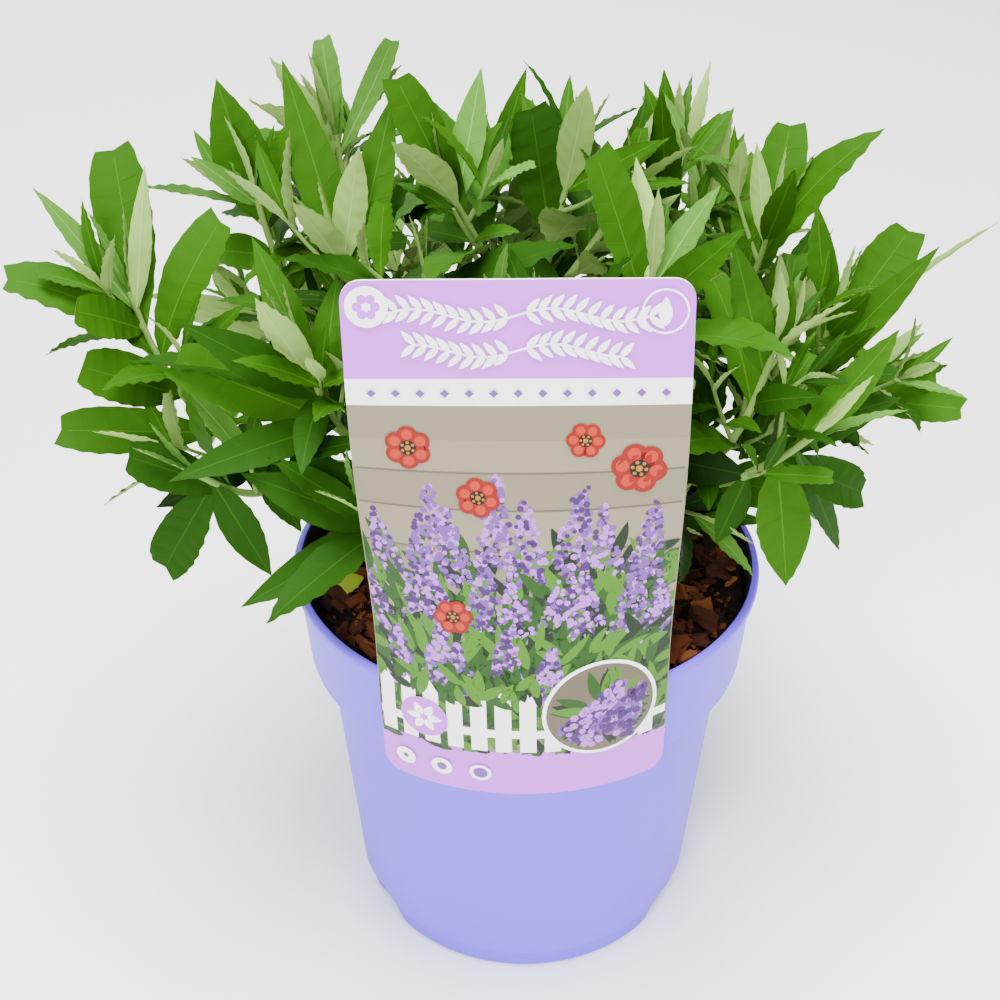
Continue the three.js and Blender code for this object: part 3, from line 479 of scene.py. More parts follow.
artwork = {
    "seed": 21, "reach": 56, "edge": 55.5, "seam": 0.35, "base": 0.05, "film": 0.003, "thickFilm": 0.012,
    "tones": {
        "white": "#FAFAFA", "lilacPale": "#AC66CE", "lilacMid": "#6E4098", "lilacDeep": "#40205C",
        "leafBright": "#3F7010", "leafMid": "#1C4409", "leafDark": "#0C2206", "orange": "#800E03",
        "coral": "#A83014", "amber": "#9C660A", "dark": "#0C0708", "lilacBand": "#C058E8",
        "mortar": "#5A5342",
    },
    "florets": {"lilacPale": 0.34, "lilacMid": 0.4, "lilacDeep": 0.26},
    "spike": (14, 130, 1.15), "closeSpike": (18, 190, 1.6),  # width, florets and their size
    "rows": [  # from back to front: top of the leaves, counts by tone, spikes of u, v, turn, length
        (60, (140, 130, 60), [(-46, 44, 98, 33), (-34, 53, 84, 36), (-22, 48, 97, 32), (-9, 57, 88, 37),
                              (4, 50, 95, 33), (17, 56, 82, 36), (30, 47, 92, 34), (43, 48, 84, 33)]),
        (45, (150, 170, 110), [(-50, 20, 104, 32), (-38, 27, 86, 31), (-27, 22, 99, 34), (-14, 30, 85, 32),
                               (-1, 24, 93, 34), (12, 29, 80, 30), (25, 22, 96, 33), (38, 27, 84, 32),
                               (50, 20, 90, 28)]),
        (24, (110, 130, 90), [(-44, 2, 96, 27), (-31, 6, 84, 28), (-19, 0, 101, 26), (-6, 5, 88, 28),
                              (7, 0, 80, 25)]),
    ],
    "rowLeaves": {"u": (-54, 54), "foot": -26, "length": (9, 17), "width": (3, 4.8)},
    "tuft": {"counts": (14, 18, 14), "u": (-52, 8), "v": (-2, 8), "length": (9, 15), "width": (3, 4.6)},
    "lean": 0.7, "leafSwing": 60, "leafBend": 0.5,
    "pales": {
        "count": 12, "first": -52, "step": 9, "half": 3, "foot": -23.5, "top": 2, "tip": 7,
        "rail": (-16, -12),
    },
    "poppies": [(-37, 102, 8), (22, 105, 6.5), (40, 94, 9.5), (-14, 84, 7.5), (-24, 36, 7)],
    "petals": {"orange": (0.56, 0.46, 14), "coral": (0.62, 0.24, 12), "amber": (0.25, 0.07, 8)},
    "heart": {"dark": (0.36, 14), "amber": (0.13, 10)},
    "closeUp": {
        "disc": (29, -5, 22), "sides": 44, "edge": 1.5, "counts": (12, 14, 9), "root": 5, "leaf": (14, 4.4),
        "spikes": [(-10, -14, 55, 32), (4, -13, 60, 24)],
    },
    "seal": {"disc": (-37, -11, 9.5), "root": 1.2, "leaf": (0.62, 3.4)},
    "rings": {"across": (-46, -31, -16), "level": -35.5, "size": 4.2, "least": 1.2, "more": 0.8},
    "lozenges": {"count": 13, "first": -48, "step": 8, "half": 1.6, "level": 122.2, "rise": 1.5},
    "garlands": {
        "rows": [(149, 42, 11), (137, 33, 9)],  # level, reach and leaves on each side
        "start": 3, "wave": 2.2, "swing": 7, "leaf": (6.4, 2.3), "leans": (48, -42), "half": 0.4,
        "steps": 40,
    },
    "badge": {"disc": (-48, 152, 7), "ring": 2.9, "dot": 1.6},
    "hoop": {"middle": (47, 150), "outer": 7.6, "inner": 6.9, "sides": 30, "leaf": (-5, 10, 4.4)},
}
film, thickFilm = artwork["film"], artwork["thickFilm"]  # rise from one layer of ink to the next
leafInks = ("leafDark", "leafMid", "leafBright")


def plume(draw, u, v, turn, length, spike):  # a flower spike of small florets, by tone
    width, count, size = spike
    turn = math.radians(turn)
    tones, shapes = list(artwork["florets"]), {}
    for _ in range(count):
        share = draw.beta(1.1, 1.5)
        out = draw.uniform(-1, 1) * width / 2 * (1 - share) ** 0.6
        du = length * share * math.cos(turn) - out * math.sin(turn)
        dv = length * share * math.sin(turn) + out * math.cos(turn)
        tone = tones[draw.choice(3, p=list(artwork["florets"].values()))]
        floret = disc(u + du, v + dv, size * draw.uniform(0.7, 1.15), 6, draw.uniform(0, 1))
        shapes.setdefault(tone, []).extend(floret)
    return [(tone, group, film) for tone, group in shapes.items()]


def blades(draw, counts, u, v, length, width):  # printed leaves of each green, strewn over u and v
    swing, bend, layers = artwork["leafSwing"], artwork["leafBend"], []
    for tone, count in zip(leafInks, counts):
        shapes = []
        for _ in range(count):
            x, y = draw.uniform(*u), draw.uniform(*v)
            turn = math.radians(90 - x * artwork["lean"] + draw.uniform(-swing, swing))
            size = draw.uniform(*length), draw.uniform(*width)
            shapes += leafOutline(x, y, *size, turn, draw.uniform(-bend, bend))
        layers.append((tone, shapes, film))
    return layers


def printBed(draw):  # boards, rows of leaves and spikes, and a white paling before them
    edge, leaf = artwork["edge"], artwork["rowLeaves"]
    for level in boards[1:8]:
        yield "mortar", [box(-edge, edge, level - artwork["seam"], level + artwork["seam"])], film
    for top, counts, spikes in artwork["rows"]:
        yield from blades(draw, counts, leaf["u"], (leaf["foot"], top), leaf["length"], leaf["width"])
        for u, v, turn, length in spikes:
            yield from plume(draw, u, v, turn, length, artwork["spike"])
    pale = artwork["pales"]
    shapes = []
    for i in range(pale["count"]):
        u = pale["first"] + pale["step"] * i
        left, right = u - pale["half"], u + pale["half"]
        corners = box(left, right, pale["foot"], pale["top"])
        shapes.append(corners[:3] + [(u, pale["tip"])] + corners[3:])
    yield "white", shapes, film
    yield "white", [box(-edge, edge, *pale["rail"])], film
    yield from blades(draw, **artwork["tuft"])


def printBlossoms(draw):
    for u, v, size in artwork["poppies"]:
        start = draw.uniform(0, 6)
        petals = {}
        for tone, (out, radius, sides) in artwork["petals"].items():
            centres = spots(u, v, out * size, 6, start)
            petals[tone] = [disc(*centre, size * radius, sides)[0] for centre in centres]
        heart = {}
        for tone, (radius, sides) in artwork["heart"].items():
            heart[tone] = disc(u, v, size * radius, sides)
        for tone in ("orange", "coral", "dark", "amber"):
            yield tone, petals.get(tone, []) + heart.get(tone, []), thickFilm


def printCloseUp(draw):
    close = artwork["closeUp"]
    u, v, size = close["disc"]
    yield "white", disc(u, v, size, close["sides"]), thickFilm
    yield "mortar", disc(u, v, size - close["edge"], close["sides"]), thickFilm
    for tone, count in zip(leafInks, close["counts"]):
        shapes, root = [], close["root"]
        for _ in range(count):
            turn = draw.uniform(0, 2 * math.pi)
            x, y = u + root * math.cos(turn), v + root * math.sin(turn)
            shapes += leafOutline(x, y, *close["leaf"], turn)
        yield tone, shapes, film
    for du, dv, turn, length in close["spikes"]:
        yield from plume(draw, u + du, v + dv, turn, length, artwork["closeSpike"])


def printGarlands():
    setting = artwork["garlands"]

    def sway(u, level):
        return level + setting["wave"] * math.sin(u / setting["swing"])

    start, half, steps = setting["start"], setting["half"], setting["steps"]
    for level, reach, count in setting["rows"]:
        for side, i, lean in itertools.product((-1, 1), range(count), setting["leans"]):
            u = side * (start + (reach - start) * i / (count - 1))
            turn = math.radians(lean if side > 0 else 180 - lean)
            yield "white", leafOutline(u, sway(u, level), *setting["leaf"], turn), 0
        vine = [(u, sway(u, level)) for u in (-reach + 2 * reach * i / steps for i in range(steps + 1))]
        yield "white", [[(a, low - half), (b, high - half), (b, high + half), (a, low + half)]
                        for (a, low), (b, high) in zip(vine, vine[1:])], film


def printMarks():  # plain seal, rings, lozenges, garlands, corner blossom and hoop
    seal, rings, row, badge, hoop = (artwork[key] for key in ("seal", "rings", "lozenges", "badge", "hoop"))
    u, v, size = seal["disc"]
    yield "lilacBand", disc(u, v, size, 36), film
    length, width = seal["leaf"]
    for i, root in enumerate(spots(u, v, seal["root"], 6)):
        yield "white", leafOutline(*root, size * length, width, 2 * math.pi * i / 6), film
    for i, u in enumerate(rings["across"]):
        yield "white", disc(u, rings["level"], rings["size"], 24), film
        yield "lilacMid", disc(u, rings["level"], rings["least"] + rings["more"] * i, 16), film
    half, level, rise = row["half"], row["level"], row["rise"]
    for u in (row["first"] + row["step"] * i for i in range(row["count"])):
        yield "lilacMid", [[(u - half, level), (u, level - rise), (u + half, level), (u, level + rise)]], 0
    yield from printGarlands()
    u, v, size = badge["disc"]
    yield "white", disc(u, v, size, 30), film
    for centre in spots(u, v, badge["ring"], 6):
        yield "lilacBand", disc(*centre, badge["dot"], 12), film
    u, v = hoop["middle"]
    far, near = (spots(u, v, hoop[key], hoop["sides"]) for key in ("outer", "inner"))
    yield "white", [[near[i - 1], far[i - 1], far[i], near[i]] for i in range(hoop["sides"])], film
    down, length, width = hoop["leaf"]
    yield "white", leafOutline(u, v + down, length, width, math.radians(90)), film


def buildPrint():
    draw = np.random.default_rng(artwork["seed"])
    tones = list(artwork["tones"])
    bm = bmesh.new()
    height = artwork["base"] - film
    parts = printBed(draw), printBlossoms(draw), printCloseUp(draw), printMarks()  # drawn in this order
    for tone, shapes, rise in itertools.chain(*parts):
        height += rise
        for shape in shapes:
            face = bm.faces.new([bm.verts.new((u, v, height)) for u, v in shape])
            face.material_index = tones.index(tone)
            face.normal_update()
            if face.normal.z < 0:
                face.normal_flip()
    for side in (-1, 1):  # the bed runs to the card's edges
        bmesh.ops.bisect_plane(bm, geom=everything(bm), plane_co=(side * artwork["reach"], 0, 0),
                               plane_no=(side, 0, 0), clear_outer=True)
    sliced(bm)
    laid(bm, label["thick"] / 2)
    return meshOf(bm, "label_print")


def cardMaterial(name, colour):  # laminated card: ink under a thin clear film
    return plainMaterial(name, colour, 0.42, IOR=1.5, Specular_IOR_Level=0.2, Coat_Weight=0.06,
                         Coat_Roughness=0.15)


cardInks = [cardMaterial("card_" + tone, colour) for tone, colour in cardTones.items()]
printInks = [cardMaterial("print_" + tone, colour) for tone, colour in artwork["tones"].items()]
newPiece("label_card", buildCard(), cardInks, "label_card", ["label"], smooth=False)
newPiece("label_hook", buildHook(), [cardInks[-1]], "label_card", ["label"], smooth=False)
newPiece("label_print", buildPrint(), printInks, "label_card", ["label"], smooth=False)
print("label: card, hook and print")


# Growth: the crown's limbs and leaves by one seeded rule

# Mass, height of its fork on the stem and the tip of its bough
masses = [
    ("left", 178, (-55, -8, 207)),
    ("frontleft", 190, (-32, -27, 213)),
    ("upleft", 202, (-46, 14, 238)),
    ("topleft", 220, (-30, 4, 254)),
    ("top", 0, (-3, 3, 240)),
    ("front", 208, (20, -22, 236)),
    ("upright", 214, (32, 16, 242)),
    ("right", 178, (48, 2, 212)),
    ("frontright", 190, (38, -26, 213)),
    ("back", 208, (4, 40, 236)),
    ("backleft", 190, (-42, 46, 222)),
    ("backright", 190, (42, 48, 222)),
]

# Shoot, mass, share of the mass's first shoot where it forks, bend, tip, turn of its newest pair,
# pairs of leaves, leaf length, seed
shoots = [
    ("A1", "left", 0, (-126, -22, 216), (-142, -20, 297), 0, 7, 62, 1),
    ("A2", "left", 0.35, (-96, -34, 212), (-120, -44, 236), 45, 4, 56, 2),
    ("B1", "frontleft", 0, (-64, -40, 232), (-78, -44, 282), 0, 7, 66, 3),
    ("B2", "frontleft", 0.2, (-48, -58, 214), (-58, -66, 234), 45, 4, 62, 4),
    ("C1", "upleft", 0, (-90, 20, 246), (-101, 20, 320), 45, 7, 58, 5),
    ("C2", "upleft", 0.3, (-90, 42, 240), (-108, 54, 244), 45, 6, 56, 6),
    ("D1", "topleft", 0, (-64, 22, 266), (-71, 30, 336), 40, 7, 62, 7),
    ("D2", "topleft", 0.25, (-56, -12, 270), (-68, -16, 312), 0, 6, 60, 8),
    ("E1", "top", 0, (-4, 3, 285), (-29, 0, 328), 0, 7, 64, 9),
    ("E2", "top", 0.2, (6, 8, 290), (14, 10, 330), 0, 7, 60, 10),
    ("F1", "front", 0, (38, -36, 256), (41, -41, 314), 45, 7, 66, 11),
    ("F2", "front", 0.3, (10, -46, 262), (2, -50, 296), 0, 6, 60, 12),
    ("G1", "upright", 0, (82, 24, 244), (90, 20, 304), 0, 7, 66, 13),
    ("G2", "upright", 0.25, (52, 40, 268), (56, 42, 322), 45, 7, 62, 14),
    ("H1", "right", 0, (104, 2, 216), (113, 0, 276), 0, 7, 64, 37),
    ("H2", "right", 0.4, (108, 22, 212), (136, 26, 238), 45, 5, 62, 16),
    ("I1", "frontright", 0, (76, -40, 226), (85, -41, 290), 45, 7, 60, 17),
    ("I2", "frontright", 0.35, (72, -52, 232), (98, -54, 258), 0, 5, 66, 18),
    ("J1", "back", 0, (2, 84, 238), (0, 92, 284), 0, 7, 62, 19),
    ("J2", "back", 0.3, (-12, 70, 262), (-20, 68, 304), 45, 7, 60, 20),
    ("K1", "backleft", 0, (-76, 84, 228), (-88, 88, 272), 0, 7, 62, 21),
    ("K2", "backleft", 0.35, (-52, 110, 220), (-58, 132, 240), 45, 6, 58, 22),
    ("L1", "backright", 0, (78, 84, 228), (92, 88, 272), 0, 7, 62, 23),
    ("L2", "backright", 0.35, (52, 108, 220), (50, 136, 240), 45, 6, 58, 24),
    ("B3", "frontleft", 0.1, (-62, -26, 232), (-75, -30, 254), 90, 4, 60, 25),
    ("C3", "upleft", 0.2, (-66, 0, 264), (-72, -4, 300), 30, 5, 56, 26),
    ("D3", "topleft", 0.15, (-38, -18, 270), (-37, -24, 306), 10, 6, 58, 27),
    ("E3", "top", 0.05, (-10, -30, 262), (-12, -42, 300), 60, 5, 58, 28),
    ("E4", "top", 0.3, (26, 20, 296), (36, 22, 320), 30, 5, 56, 29),
    ("G3", "upright", 0.45, (72, 40, 272), (70, 52, 304), 20, 6, 56, 30),
    ("H3", "right", 0.22, (80, -14, 224), (81, -17, 252), 85, 5, 60, 41),
    ("H4", "right", 0.5, (98, 10, 246), (97, 12, 270), 75, 5, 56, 36),
    ("J3", "back", 0.25, (14, 58, 272), (12, 52, 312), 15, 6, 56, 33),
    ("K3", "backleft", 0.2, (-44, 84, 236), (-40, 100, 272), 30, 6, 56, 34),
    ("L3", "backright", 0.3, (88, 62, 230), (104, 64, 250), 20, 6, 58, 35),
]

# Leaves that lead the crown's outline: shoot, pair from the tip, side, plan angle and climb, length,
# width, share that the shears left, bend and the plan angle that the upper side faces
leads = [
    ("A1", 3, 1, -170, 35, 66, 20, 0.93, 75, -20),
    ("A1", 3, 0, 25, 60, 61, 19, 0.95, 45, -110),
    ("A1", 2, 0, -125, 33, 55, 15, 0.7, 30, -90),
    ("A1", 2, 1, 110, 70, 71, 21, 0.92, 8, -90),
    ("A1", 1, 1, -170, 60, 57, 9, 1, 12, -60),
    ("A1", 1, 0, 15, 80, 55, 8, 1, -20, 90),
    ("A1", 4, 0, -135, 35, 67, 19, 0.75, 20, -90),
    ("A1", 4, 1, 65, 35, 36, 16, 1, 30, -90),
    ("A1", 5, 0, -165, 10, 69, 18, 0.85, 10, -90),
    ("A1", 6, 0, -160, -15, 44, 13, 1, 20, -90),
    ("A1", 6, 1, -60, -20, 36, 13, 1, 15, -90),
    ("A2", 2, 0, -165, 30, 51, 17, 0.8, 10, -90),
    ("A2", 1, 0, -35, -52, 41, 14, 1, 10, -90),
    ("A2", 1, 1, -178, -60, 49, 19, 0.92, 10, -90),
    ("A2", 3, 0, 100, 20, 45, 13, 1, 10, -90),
    ("B1", 2, 1, -155, 40, 62, 15, 1, 25, -90),
    ("B1", 3, 1, -170, 30, 68, 20, 0.93, 10, -90),
    ("B1", 3, 0, -145, 0, 66, 14, 1, 30, -90),
    ("B2", 2, 1, -170, 30, 57, 17, 1, 10, -90),
    ("B2", 3, 0, -145, -10, 68, 15, 1, 12, -90),
    ("C1", 2, 0, 160, 75, 56, 21, 1, 8, -90),
    ("C1", 1, 1, -150, 45, 34, 8, 1, 25, -90),
    ("C1", 3, 1, -160, 15, 30, 14, 1, 20, -90),
    ("D1", 1, 0, 125, 80, 45, 10, 0.95, 5, -90),
    ("D1", 1, 1, -5, 64, 54, 9, 0.9, -25, -90),
    ("D1", 2, 1, 165, 60, 50, 13, 1, 10, 90),
    ("D2", 2, 1, 140, 70, 81, 16, 1, 5, -90),
    ("D2", 1, 0, 10, 80, 45, 12, 1, 15, 90),
    ("D2", 2, 0, 45, 70, 69, 15, 1, 5, -90),
    ("E1", 2, 1, 180, 66, 66, 16, 0.9, 10, -90),
    ("E1", 1, 0, 69, 60, 49, 12, 1, 0, -90),
    ("E2", 1, 0, -20, 35, 42, 10, 1, 0, -90),
    ("E2", 2, 1, 130, 60, 44, 9, 1, 0, -90),
    ("E2", 3, 1, 155, 80, 58, 19, 0.9, 5, -90),
    ("F1", 2, 1, 160, 70, 63, 18, 0.95, 5, -60),
    ("F1", 1, 1, 100, 55, 47, 11, 1, 5, 90),
    ("F1", 1, 0, 25, 55, 43, 11, 1, 20, -120),
    ("F1", 2, 0, -30, 50, 51, 13, 1, 25, -90),
    ("G1", 2, 0, -10, 55, 69, 19, 1, 50, -140),
    ("G1", 2, 1, 65, 60, 63, 18, 0.85, 5, -90),
    ("G1", 1, 1, 155, 80, 40, 8, 1, 0, 90),
    ("G1", 1, 0, -80, 60, 45, 11, 1, 5, -90),
    ("G2", 2, 1, 125, 80, 49, 11, 1, 0, -90),
    ("G2", 3, 1, -110, 70, 68, 14, 1, 5, -110),
    ("G2", 1, 1, 140, 65, 38, 8, 1, 0, -90),
    ("G2", 2, 0, 62, 55, 54, 9, 1, -15, 90),
    ("G3", 2, 1, 60, 45, 44, 10, 1, 0, -90),
    ("H1", 3, 0, -10, 55, 73, 13, 1, 10, -90),
    ("H1", 2, 1, 20, 55, 63, 19, 0.9, 5, -90),
    ("H1", 1, 1, 170, 80, 54, 12, 1, 5, -90),
    ("H1", 2, 0, 15, 35, 81, 7, 1, 10, 90),
    ("H1", 3, 1, -75, 45, 67, 8, 1, -10, -90),
    ("H1", 1, 0, -70, 50, 38, 10, 1, 0, -90),
    ("H2", 1, 0, -20, 20, 35, 16, 0.95, 15, -90),
    ("H2", 2, 0, -5, -3, 54, 14, 0.93, 20, -90),
    ("H3", 3, 0, -5, 22, 68, 21, 1, 15, -90),
    ("I1", 2, 1, -145, 70, 61, 14, 1, 5, -90),
    ("I1", 1, 0, -40, 80, 31, 9, 1, 5, -90),
    ("I1", 3, 0, -55, 30, 37, 11, 1, 50, -90),
    ("I2", 3, 0, 175, 10, 45, 15, 1, 10, -90),
    ("I2", 2, 0, -60, -75, 50, 20, 1, 15, -90),
    ("I2", 2, 1, 25, -32, 52, 17, 0.93, 20, -90),
    ("I2", 1, 1, 40, -60, 71, 9, 1, 10, -90),
    ("I2", 3, 1, -140, -60, 28, 11, 1, 10, -90),
    ("J2", 2, 1, 25, 72, 60, 11, 1, 8, -90),
    ("L1", 2, 1, 60, 55, 48, 12, 1, 10, -90),
    ("J3", 1, 0, 150, 72, 52, 7, 1, 60, -20),
]

# Rank from the tip: share of full length, angle from the stem, bend, distance to the next pair
ranks = [(0.5, 9, 2, 6), (0.78, 22, 10, 8), (1.0, 36, 20, 13), (1.06, 50, 30, 17), (1.0, 60, 40, 20),
         (0.95, 68, 45, 21), (0.85, 74, 48, 20)]

stem = {"flare": 8.5, "flareHeight": 9, "foot": 5.4, "tip": 3.4, "height": 76, "lean": (-3, 3), "sides": 10}
bough = {"foot": 2.9, "tip": 2.3, "sides": 6, "steps": 6, "springback": 0.42}
twig = {"foot": 2.1, "tip": 1.2, "sides": 3, "steps": 6, "past": 1.5, "start": 0.3, "bare": 3}
swings = {"turn": 12, "angle": 8, "bend": 10, "length": 0.12, "width": 0.1}
blade = {
    "half": 0.165, "young": 0.6, "youngRanks": 3, "skyward": 0.6, "faceClimb": 0.8, "shorn": 0.22,
    "shornLeast": 0.62, "seedStep": 7919, "fineSteps": 0.5,
    "rings": ((0.3, 0.92), (0.68, 0.8)), "shortUnder": 42, "shortRings": ((0.45, 1),), "shornAt": 0.4,
    "shornWidths": (1, 0.74), "fold": 0.9, "keel": 0.8, "root": 0.35,
}
soilTop, clearance, spare, curveSteps = 161, 2, 0.5, 32  # three in mm, and steps along a limb
straight = 1e-3  # a bend below this is taken as this
stemStops = [  # share of the stem's height, radius
    (0, stem["flare"]), (0.35 * stem["flareHeight"] / stem["height"], 0.78 * stem["flare"]),
    (stem["flareHeight"] / stem["height"], stem["foot"]), (1, stem["tip"]),
]
stemFoot = np.array([0, 2, soilTop + 0.3])
stemTip = stemFoot + [stem["lean"][0], stem["lean"][1] - 2, stem["height"]]


def seeded(seed):
    state = seed & 0xFFFFFFFF

    def draw():
        nonlocal state
        state = (state + 0x6D2B79F5) & 0xFFFFFFFF
        t = ((state ^ (state >> 15)) * (1 | state)) & 0xFFFFFFFF
        t = ((t + (((t ^ (t >> 7)) * (61 | t)) & 0xFFFFFFFF)) & 0xFFFFFFFF) ^ t
        return (t ^ (t >> 14)) / 4294967296
    return draw


def unit(v):
    return v / np.linalg.norm(v)


class Line:  # a limb's middle, from foot to tip
    def __init__(self, foot, bend, tip):
        self.foot, self.bend, self.tip = (np.array(p, float) for p in (foot, bend, tip))
        points = np.array([self.at(i / curveSteps) for i in range(curveSteps + 1)])
        self.stops = np.concatenate([[0], np.cumsum(np.linalg.norm(np.diff(points, axis=0), axis=1))])
        self.length = self.stops[-1]

    def at(self, share):
        rest = 1 - share
        return rest * rest * self.foot + 2 * rest * share * self.bend + share * share * self.tip

    def way(self, share):
        return unit((1 - share) * (self.bend - self.foot) + share * (self.tip - self.bend))

    def back(self, distance):
        target = self.length - distance
        i = 0
        while i < curveSteps - 1 and self.stops[i + 1] < target:
            i += 1
        return (i + (target - self.stops[i]) / (self.stops[i + 1] - self.stops[i])) / curveSteps


def crossAxes(axis):
    first = unit(np.array([1.0, 0, 0]) - axis * axis[0])
    return first, np.cross(axis, first)


def ringPoints(centre, axis, radius, sides):
    first, second = crossAxes(axis)
    turns = 2 * np.pi * np.arange(sides)[:, None] / sides
    return centre + radius * (np.cos(turns) * first + np.sin(turns) * second)


def limbRings(line, shape, past=0.0):
    rings = []
    for i in range(shape["steps"] + 1):
        share = i / shape["steps"]
        axis = line.way(share)
        centre = line.at(share) + axis * (past if i == shape["steps"] else 0)
        radius = shape["foot"] + (shape["tip"] - shape["foot"]) * share
        rings.append(ringPoints(centre, axis, radius, shape["sides"]))
    return rings


def stemRings():
    up, height = np.array([0, 0, 1.0]), stemTip - stemFoot
    return [ringPoints(stemFoot + height * share, up, radius, stem["sides"]) for share, radius in stemStops]


def edgesOf(faces):
    return sorted({tuple(sorted(pair)) for a, b, c in faces for pair in ((a, b), (b, c), (c, a))})


skins = {}


def skinFaces(sizes):  # faces and edges over rings of these sizes
    if sizes not in skins:
        starts = np.concatenate([[0], np.cumsum(sizes)])
        faces = []
        for r in range(len(sizes) - 1):
            low, high = sizes[r], sizes[r + 1]
            for i in range(max(low, high)):
                j = (i + 1) % max(low, high)
                a, b = starts[r] + i % low, starts[r] + j % low
                c, d = starts[r + 1] + i % high, starts[r + 1] + j % high
                faces += [(a, b, d)] * (low > 1) + [(a, d, c)] * (high > 1)
        faces += [(0, i + 1, i) for i in range(1, sizes[0] - 1)]
        last = starts[len(sizes) - 1]
        faces += [(last, last + i, last + i + 1) for i in range(1, sizes[-1] - 1)]
        skins[sizes] = np.array(faces), np.array(edgesOf(faces))
    return skins[sizes]


class Space:  # what a leaf stays clear of
    def __init__(self, node, shoot, points, faces, edges):
        points = np.asarray(points, np.float32).astype(float)
        self.node, self.shoot = node, shoot
        self.corners, self.ends = points[faces], points[edges]
        self.middle = (points.min(0) + points.max(0)) / 2
        self.radius = np.linalg.norm(points - self.middle, axis=1).max()


def spaceOf(node, shoot, rings):
    faces, edges = skinFaces(tuple(len(ring) for ring in rings))
    return Space(node, shoot, np.concatenate(rings), faces, edges)


def cuts(one, other):
    start, way = one.ends[:, None, 0], (one.ends[:, 1] - one.ends[:, 0])[:, None]
    a = other.corners[None, :, 0]
    ab, ac = (other.corners[:, i] - other.corners[:, 0] for i in (1, 2))
    p = np.cross(way, ac[None])
    size = np.einsum("fk,efk->ef", ab, p)
    size = np.where(np.abs(size) < 1e-12, np.inf, size)
    t = start - a
    q = np.cross(t, ab[None])
    u = np.einsum("efk,efk->ef", t, p) / size
    v = np.einsum("efk,efk->ef", np.broadcast_to(way, q.shape), q) / size
    w = np.einsum("fk,efk->ef", ac, q) / size
    return bool(((u >= 0) & (v >= 0) & (u + v <= 1) & (w >= 0) & (w <= 1) & np.isfinite(size)).any())


class Crowd:  # all that grows so far
    def __init__(self, spaces):
        self.spaces, self.middles, self.radii = [], np.zeros((0, 3)), np.zeros(0)
        for space in spaces:
            self.add(space)

    def add(self, space):
        self.spaces.append(space)
        self.middles = np.vstack([self.middles, space.middle])
        self.radii = np.append(self.radii, space.radius)

    def meets(self, one, kin):  # whether it cuts anything that isn't kin
        near = np.linalg.norm(self.middles - one.middle, axis=1) <= self.radii + one.radius
        others = (self.spaces[i] for i in np.flatnonzero(near))
        return any(cuts(one, other) or cuts(other, one) for other in others if not kin(other))


def newBlade(base, direction, face, bend, length, half, kept):
    normal = unit(face - direction * face.dot(direction))
    arc = straight if abs(bend) < straight else bend
    return {"base": base, "direction": direction, "normal": normal, "side": np.cross(direction, normal),
            "arc": arc, "length": length, "half": half, "kept": kept}


def leadBlade(base, row):
    _, _, _, turn, climb, reach, width, kept, bend, facing = row
    a, c, f, arc = (math.radians(value) for value in (turn, climb, facing, bend))
    chord = np.array([math.cos(c) * math.cos(a), math.cos(c) * math.sin(a), math.sin(c)])
    face = np.array([math.cos(f), math.sin(f), blade["faceClimb"]])
    face = unit(face - chord * face.dot(chord))
    direction = chord * math.cos(arc / 2) + face * math.sin(arc / 2)
    length = reach if abs(arc) < straight else reach * arc / 2 / math.sin(arc / 2)
    return newBlade(base, direction, face, arc, length, width / 2, kept)


def bladeFrame(leaf, share):
    turn, size = leaf["arc"] * share, leaf["length"] / leaf["arc"]
    point = leaf["base"] + leaf["direction"] * size * math.sin(turn)
    point = point - leaf["normal"] * size * (1 - math.cos(turn))
    return point, leaf["direction"] * math.sin(turn) + leaf["normal"] * math.cos(turn)


def bladeRings(leaf, extra=0.0):
    def section(share, width):
        point, normal = bladeFrame(leaf, share)
        half = leaf["half"] * width + extra
        edge, keel = point + normal * (blade["fold"] + extra), point - normal * (blade["keel"] + extra)
        return np.array([edge + leaf["side"] * half, keel, edge - leaf["side"] * half])

    root = (leaf["base"] - leaf["direction"] * blade["root"] * twig["tip"])[None]
    if leaf["kept"] < 1:
        near, far = blade["shornWidths"]
        return [root, section(blade["shornAt"] * leaf["kept"], near), section(leaf["kept"], far)]
    rings = blade["shortRings"] if leaf["length"] < blade["shortUnder"] else blade["rings"]
    return [root] + [section(share, width) for share, width in rings] + [bladeFrame(leaf, 1)[0][None]]


